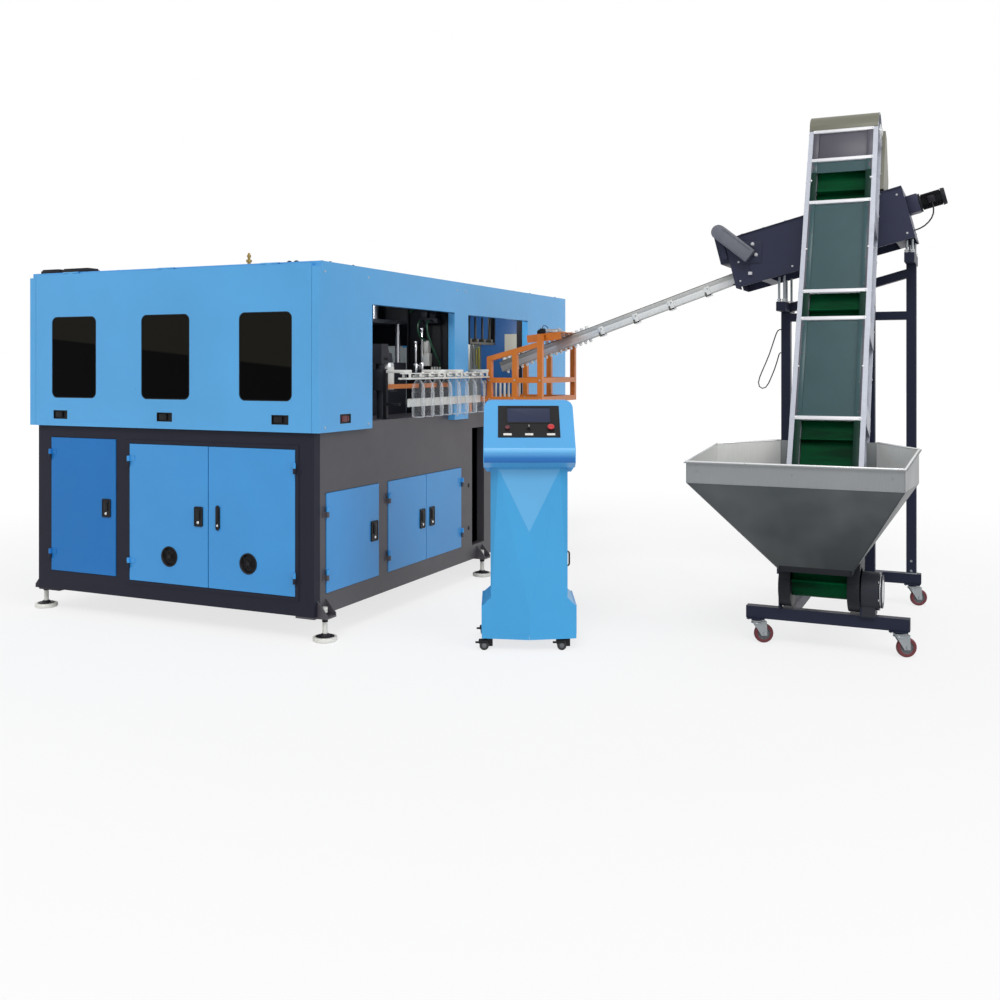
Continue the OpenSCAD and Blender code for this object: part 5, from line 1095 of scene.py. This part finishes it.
joints = Shop()
for x in (2166, 2983):
    for z in (235, 300):
        joints.bolt((x + 31, 2469, z), FORWARD, 6, 4)
    joints.block((x - 4, 2465, 215), (x + 66, 2535, 221), 1)
for x, y in STAND_CASTORS.values():
    for dx in (-40, 40):
        for dy in (-33, 33):
            joints.rod((x + dx, y + dy, 136), (x + dx, y + dy, 141), 6, sides=6)
joints.done("stand_bolts", "steel", finish="zinc")
ends = Shop()
for x0, x1, y in ((2207, 3093, 1100), (2136, 3074, 2500)):
    for x in (x0, x1 - 3):
        ends.block((x, y - 29, 148), (x + 3, y + 29, 214), 1)
ends.done("beam_caps", "black_plastic")
ring = Shop()
for x, top in ((2166, 1970), (2983, 2270)):
    for dx in (14, 48):
        for y in (2310, 2610):
            for z in (top + 62, top + 74):
                ring.turned([(8.2, 0), (15, 0), (15, 9), (8.2, 9)], (x + dx, y, z), sides=6, ring=True)
ring.done("stud_nuts", "steel", finish="bolt")

# Castors


def dress_castor(corner, x, y):
    """Tyre, spoked hub, and the pin and swivel plate of a castor that stands at x, y."""
    base = seat((x, y, 0), "Z", 24) @ Matrix.Translation((40, 0, 55))
    tyre = Shop(base).turned([(36, -14), (47, -15.6), (52, -13), (55, -7), (55, 7), (52, 13), (47, 15.6),
                              (36, 14)], (0, 0, 0), BACKWARD, 36, ring=True)
    tyre.done("castor_tyre_" + corner, "tyre_maroon", "wheel_" + corner,
              stands_for=("castor_wheel_" + corner,))
    hub = Shop(base).turned([(6.5, -15.8), (12, -15.8), (14, -9), (30, -7), (34, -12), (39, -12.5),
                             (39, 12.5), (34, 12), (30, 7), (14, 9), (12, 15.8), (6.5, 15.8)],
                            (0, 0, 0), BACKWARD, 32, ring=True)
    for i in range(5):
        hub.block((13, -8.6, -2.5), (33, 8.6, 2.5), 0.8, Matrix.Rotation(radians(72 * i), 4, "Y"))
    hub.done("castor_hub_" + corner, "white_plastic", "wheel_" + corner, finish="hub_grey")
    pin = Shop(base)
    for s in (-1, 1):
        pin.rod((0, s * 22, 0), (0, s * 27, 0), 9, sides=6, soft=1)
    pin.rod((-40, 0, 60), (-40, 0, 67), 33, 28, 32, 1.5)
    pin.done("castor_pins_" + corner, "steel", "fork_" + corner, finish="zinc")


for corner, (x, y) in STAND_CASTORS.items():
    dress_castor(corner, x, y)
    repaint("castor_fork_" + corner, "zinc")

# Console: screen, labels, buttons, and the trim of its head

START, SELECT, STOP = ((x, 154, 0) for x in (-121, 0, 123))
Shop(PANEL).slab(244, 116, 5, 1.2, spot(0, 263, 0.5), 0.4).done(
    "console_screen", "black_plastic", finish="screen")
bezel = Shop(PANEL).slab(262, 134, 9, 2.4, spot(0, 263, 1.9), 1, hollow=8)
bezel.slab(347, 256, 8, 0.9, spot(0, 211, 1.9), 0.3, hollow=4)
labels = Shop(PANEL)
for place in (START, SELECT, STOP):
    bezel.turned([(11.4, 0), (19, 0), (19, 1.9), (18, 2.5), (11.4, 2.5)], place, ring=True)
    labels.slab(46, 16, 2, 0.8, spot(place[0], 106, 2), 0.2)
bezel.done("console_bezel", "black_plastic")
labels.done("console_label_plates", "white_plastic")


def stem(place, top):
    """Stem of a button, in its hole in the panel."""
    x, y, z = place
    return Shop(PANEL).rod((x, y, -18), (x, y, top), 10.8, sides=28)


stem(START, 9).turned([(0, 15), (9, 14.8), (13, 13), (14, 10), (13.5, 8.2), (0, 8.2)], START).done(
    "start_cap", "button_red", "start_button", stands_for=("push_button",), finish="deep_red")
stem(SELECT, 3).turned([(0, 8), (11, 7.8), (13.6, 6), (14, 2.4), (0, 2.4)], SELECT).block(
    (-4, 141, 6), (4, 167, 18), 1.8).done(
    "selector_knob", "black_plastic", "selector", stands_for=("selector_switch",))
Shop(PANEL).block((-1.5, 151, 17), (1.5, 166, 18.8), 0.5).done(
    "selector_pointer", "white_plastic", "selector")
stem(STOP, 12).turned([(0, 22), (12, 21.4), (18, 19), (20, 15.5), (19, 12), (13, 10), (0, 10)], STOP,
                      sides=32).done("stop_cap", "button_red", "emergency_stop", stands_for=("stop_button",))
# The head's edge trim and front band take the lip paint, with its painted highlight and painted shade.
edge = Shop(CONSOLE)
edge.block((-251, -91.2, 1116), (251, -88, 1121), 1).block((-253, -90.9, 1062), (253, -88.6, 1066), 0.8)
for y0, z0, y1, z1 in ((-90.6, 1117, -87.8, 1132), (-87.8, 1132, -80.6, 1142)):
    edge.plate([(-251, y0, z0), (251, y0, z0), (251, y1, z1), (-251, y1, z1)], (0, 0.8, 0))
edge.done("head_edge_trim", "cabinet_blue", finish="lip_painted_light_blue")
Shop(CONSOLE).slab(503, 50, 6, 0.8, spot(0, -90, 1090, TO_FRONT)).done(
    "head_front_band", "cabinet_blue", finish="lip_painted_light_blue")
# painted highlight: a flat, paler triangle on the column's front that stands for a lit facet
Shop(CONSOLE).plate([(-170, -19.7, 1018), (170, -19.7, 1018), (1, -19.7, 670), (-1, -19.7, 670)],
                    (0, 0.8, 0)).done("column_facet", "cabinet_blue", finish="facet_painted_highlight_blue")
# Console: foot, handle and castors

skirt = Shop(CONSOLE).block((-266, 395, 66), (266, 399, 92), 1)
for s in (-1, 1):
    x0, x1 = sided(s, 262, 266)
    skirt.block((x0, 30, 66), (x1, 398, 92), 1)
    skirt.plate([(s * 0.5, -19, 66), (s * 266, 22.8, 66), (s * 266, 22.8, 92), (s * 0.5, -19, 92)], (0, 4, 0))
skirt.done("foot_skirt", "cabinet_blue", finish="console_blue")
bow = [(216, 452), (226, 452), (233, 458), (234, 470), (234, 515), (233, 527), (226, 533), (216, 533)]
grip = Shop(CONSOLE).pipe([(x, 150, z) for x, z in bow], 5, 12)
for z in (452, 533):
    grip.rod((216, 150, z), (219, 150, z), 10, sides=16)
grip.done("column_handles", "black_plastic")
rolls = Shop(CONSOLE)
shoes = Shop(CONSOLE)
caps = Shop(CONSOLE)
ROLL = 26.4
for x in (-218, 218):
    for y in (42, 370):
        for s in (-1, 1):
            axle = (x - 34, y, ROLL)
            rolls.turned([(0, 5.4), (20, 5.4), (26.1, 7), (ROLL, 9), (ROLL, 20), (26.1, 21.8), (18, 23),
                          (12, 22), (0, 22)], axle, (0, s, 0), 40)
            caps.turned([(0, 21), (13, 21), (13, 23.4), (9, 24.2), (0, 24.2)], axle, (0, s, 0), 24)
        shoes.block((x - 66, y - 23, 34), (x - 12, y + 23, 56), 6)
        shoes.block((x - 42, y - 6, 18), (x + 14, y + 6, 64), 3)
        shoes.rod((x, y, 56), (x, y, 88), 12, sides=20, soft=1)
        shoes.blocks(2, ((x - 26, y - 17, 84), (x + 26, y + 17, 90.5)),
                     ((x - 84, y - 12, 36), (x - 60, y + 12, 43)))
rolls.done("console_rolls", "cable_black")
caps.done("console_roll_caps", "white_plastic", finish="hub_grey")
shoes.done("console_castor_housings", "black_plastic")

# The base front frame and the left front door get darker copies of their paint: painted shade.
for node, finish in (("feeder_stand", "stand_blue"), ("base_front_frame", "front_painted_shade_slate"),
                     ("base_shell", "shell_slate"), ("console_body", "console_blue"),
                     ("support_studs", "zinc"), ("front_door_left", "shaded_door_blue")):
    repaint(node, finish)

# Floor


def floor():
    """Pale floor that keeps the machine's shadow and fades to white away from it."""
    mesh = bpy.data.meshes.new("pale_floor")
    bm = bmesh.new()
    bmesh.ops.create_grid(bm, x_segments=1, y_segments=1, size=60)
    bm.to_mesh(mesh)
    bm.free()
    slab = bpy.data.objects.new("pale_floor", mesh)
    bpy.context.collection.objects.link(slab)
    f = Finish("floor_white", Roughness=0.9, Base_Color=(0.8, 0.8, 0.8, 1))
    glow = f.add("ShaderNodeEmission")
    glow.inputs["Color"].default_value = (1, 1, 1, 1)
    glow.inputs["Strength"].default_value = 1.04
    reach = f.add("ShaderNodeVectorMath", operation="LENGTH")
    f.link(f.place, reach.inputs[0])
    share = f.add("ShaderNodeMath", operation="MULTIPLY")
    f.link(seen_rays(f.tree), share.inputs[0])
    f.link(f.span(reach.outputs["Value"], 0.72, 1.0, 3.5, 9.0), share.inputs[1])
    mix = f.add("ShaderNodeMixShader")
    for socket, source in enumerate((share, f.shader, glow)):
        f.link(source.outputs[0], mix.inputs[socket])
    f.link(mix.outputs[0], f.out.inputs["Surface"])
    mesh.materials.append(f.material)


floor()
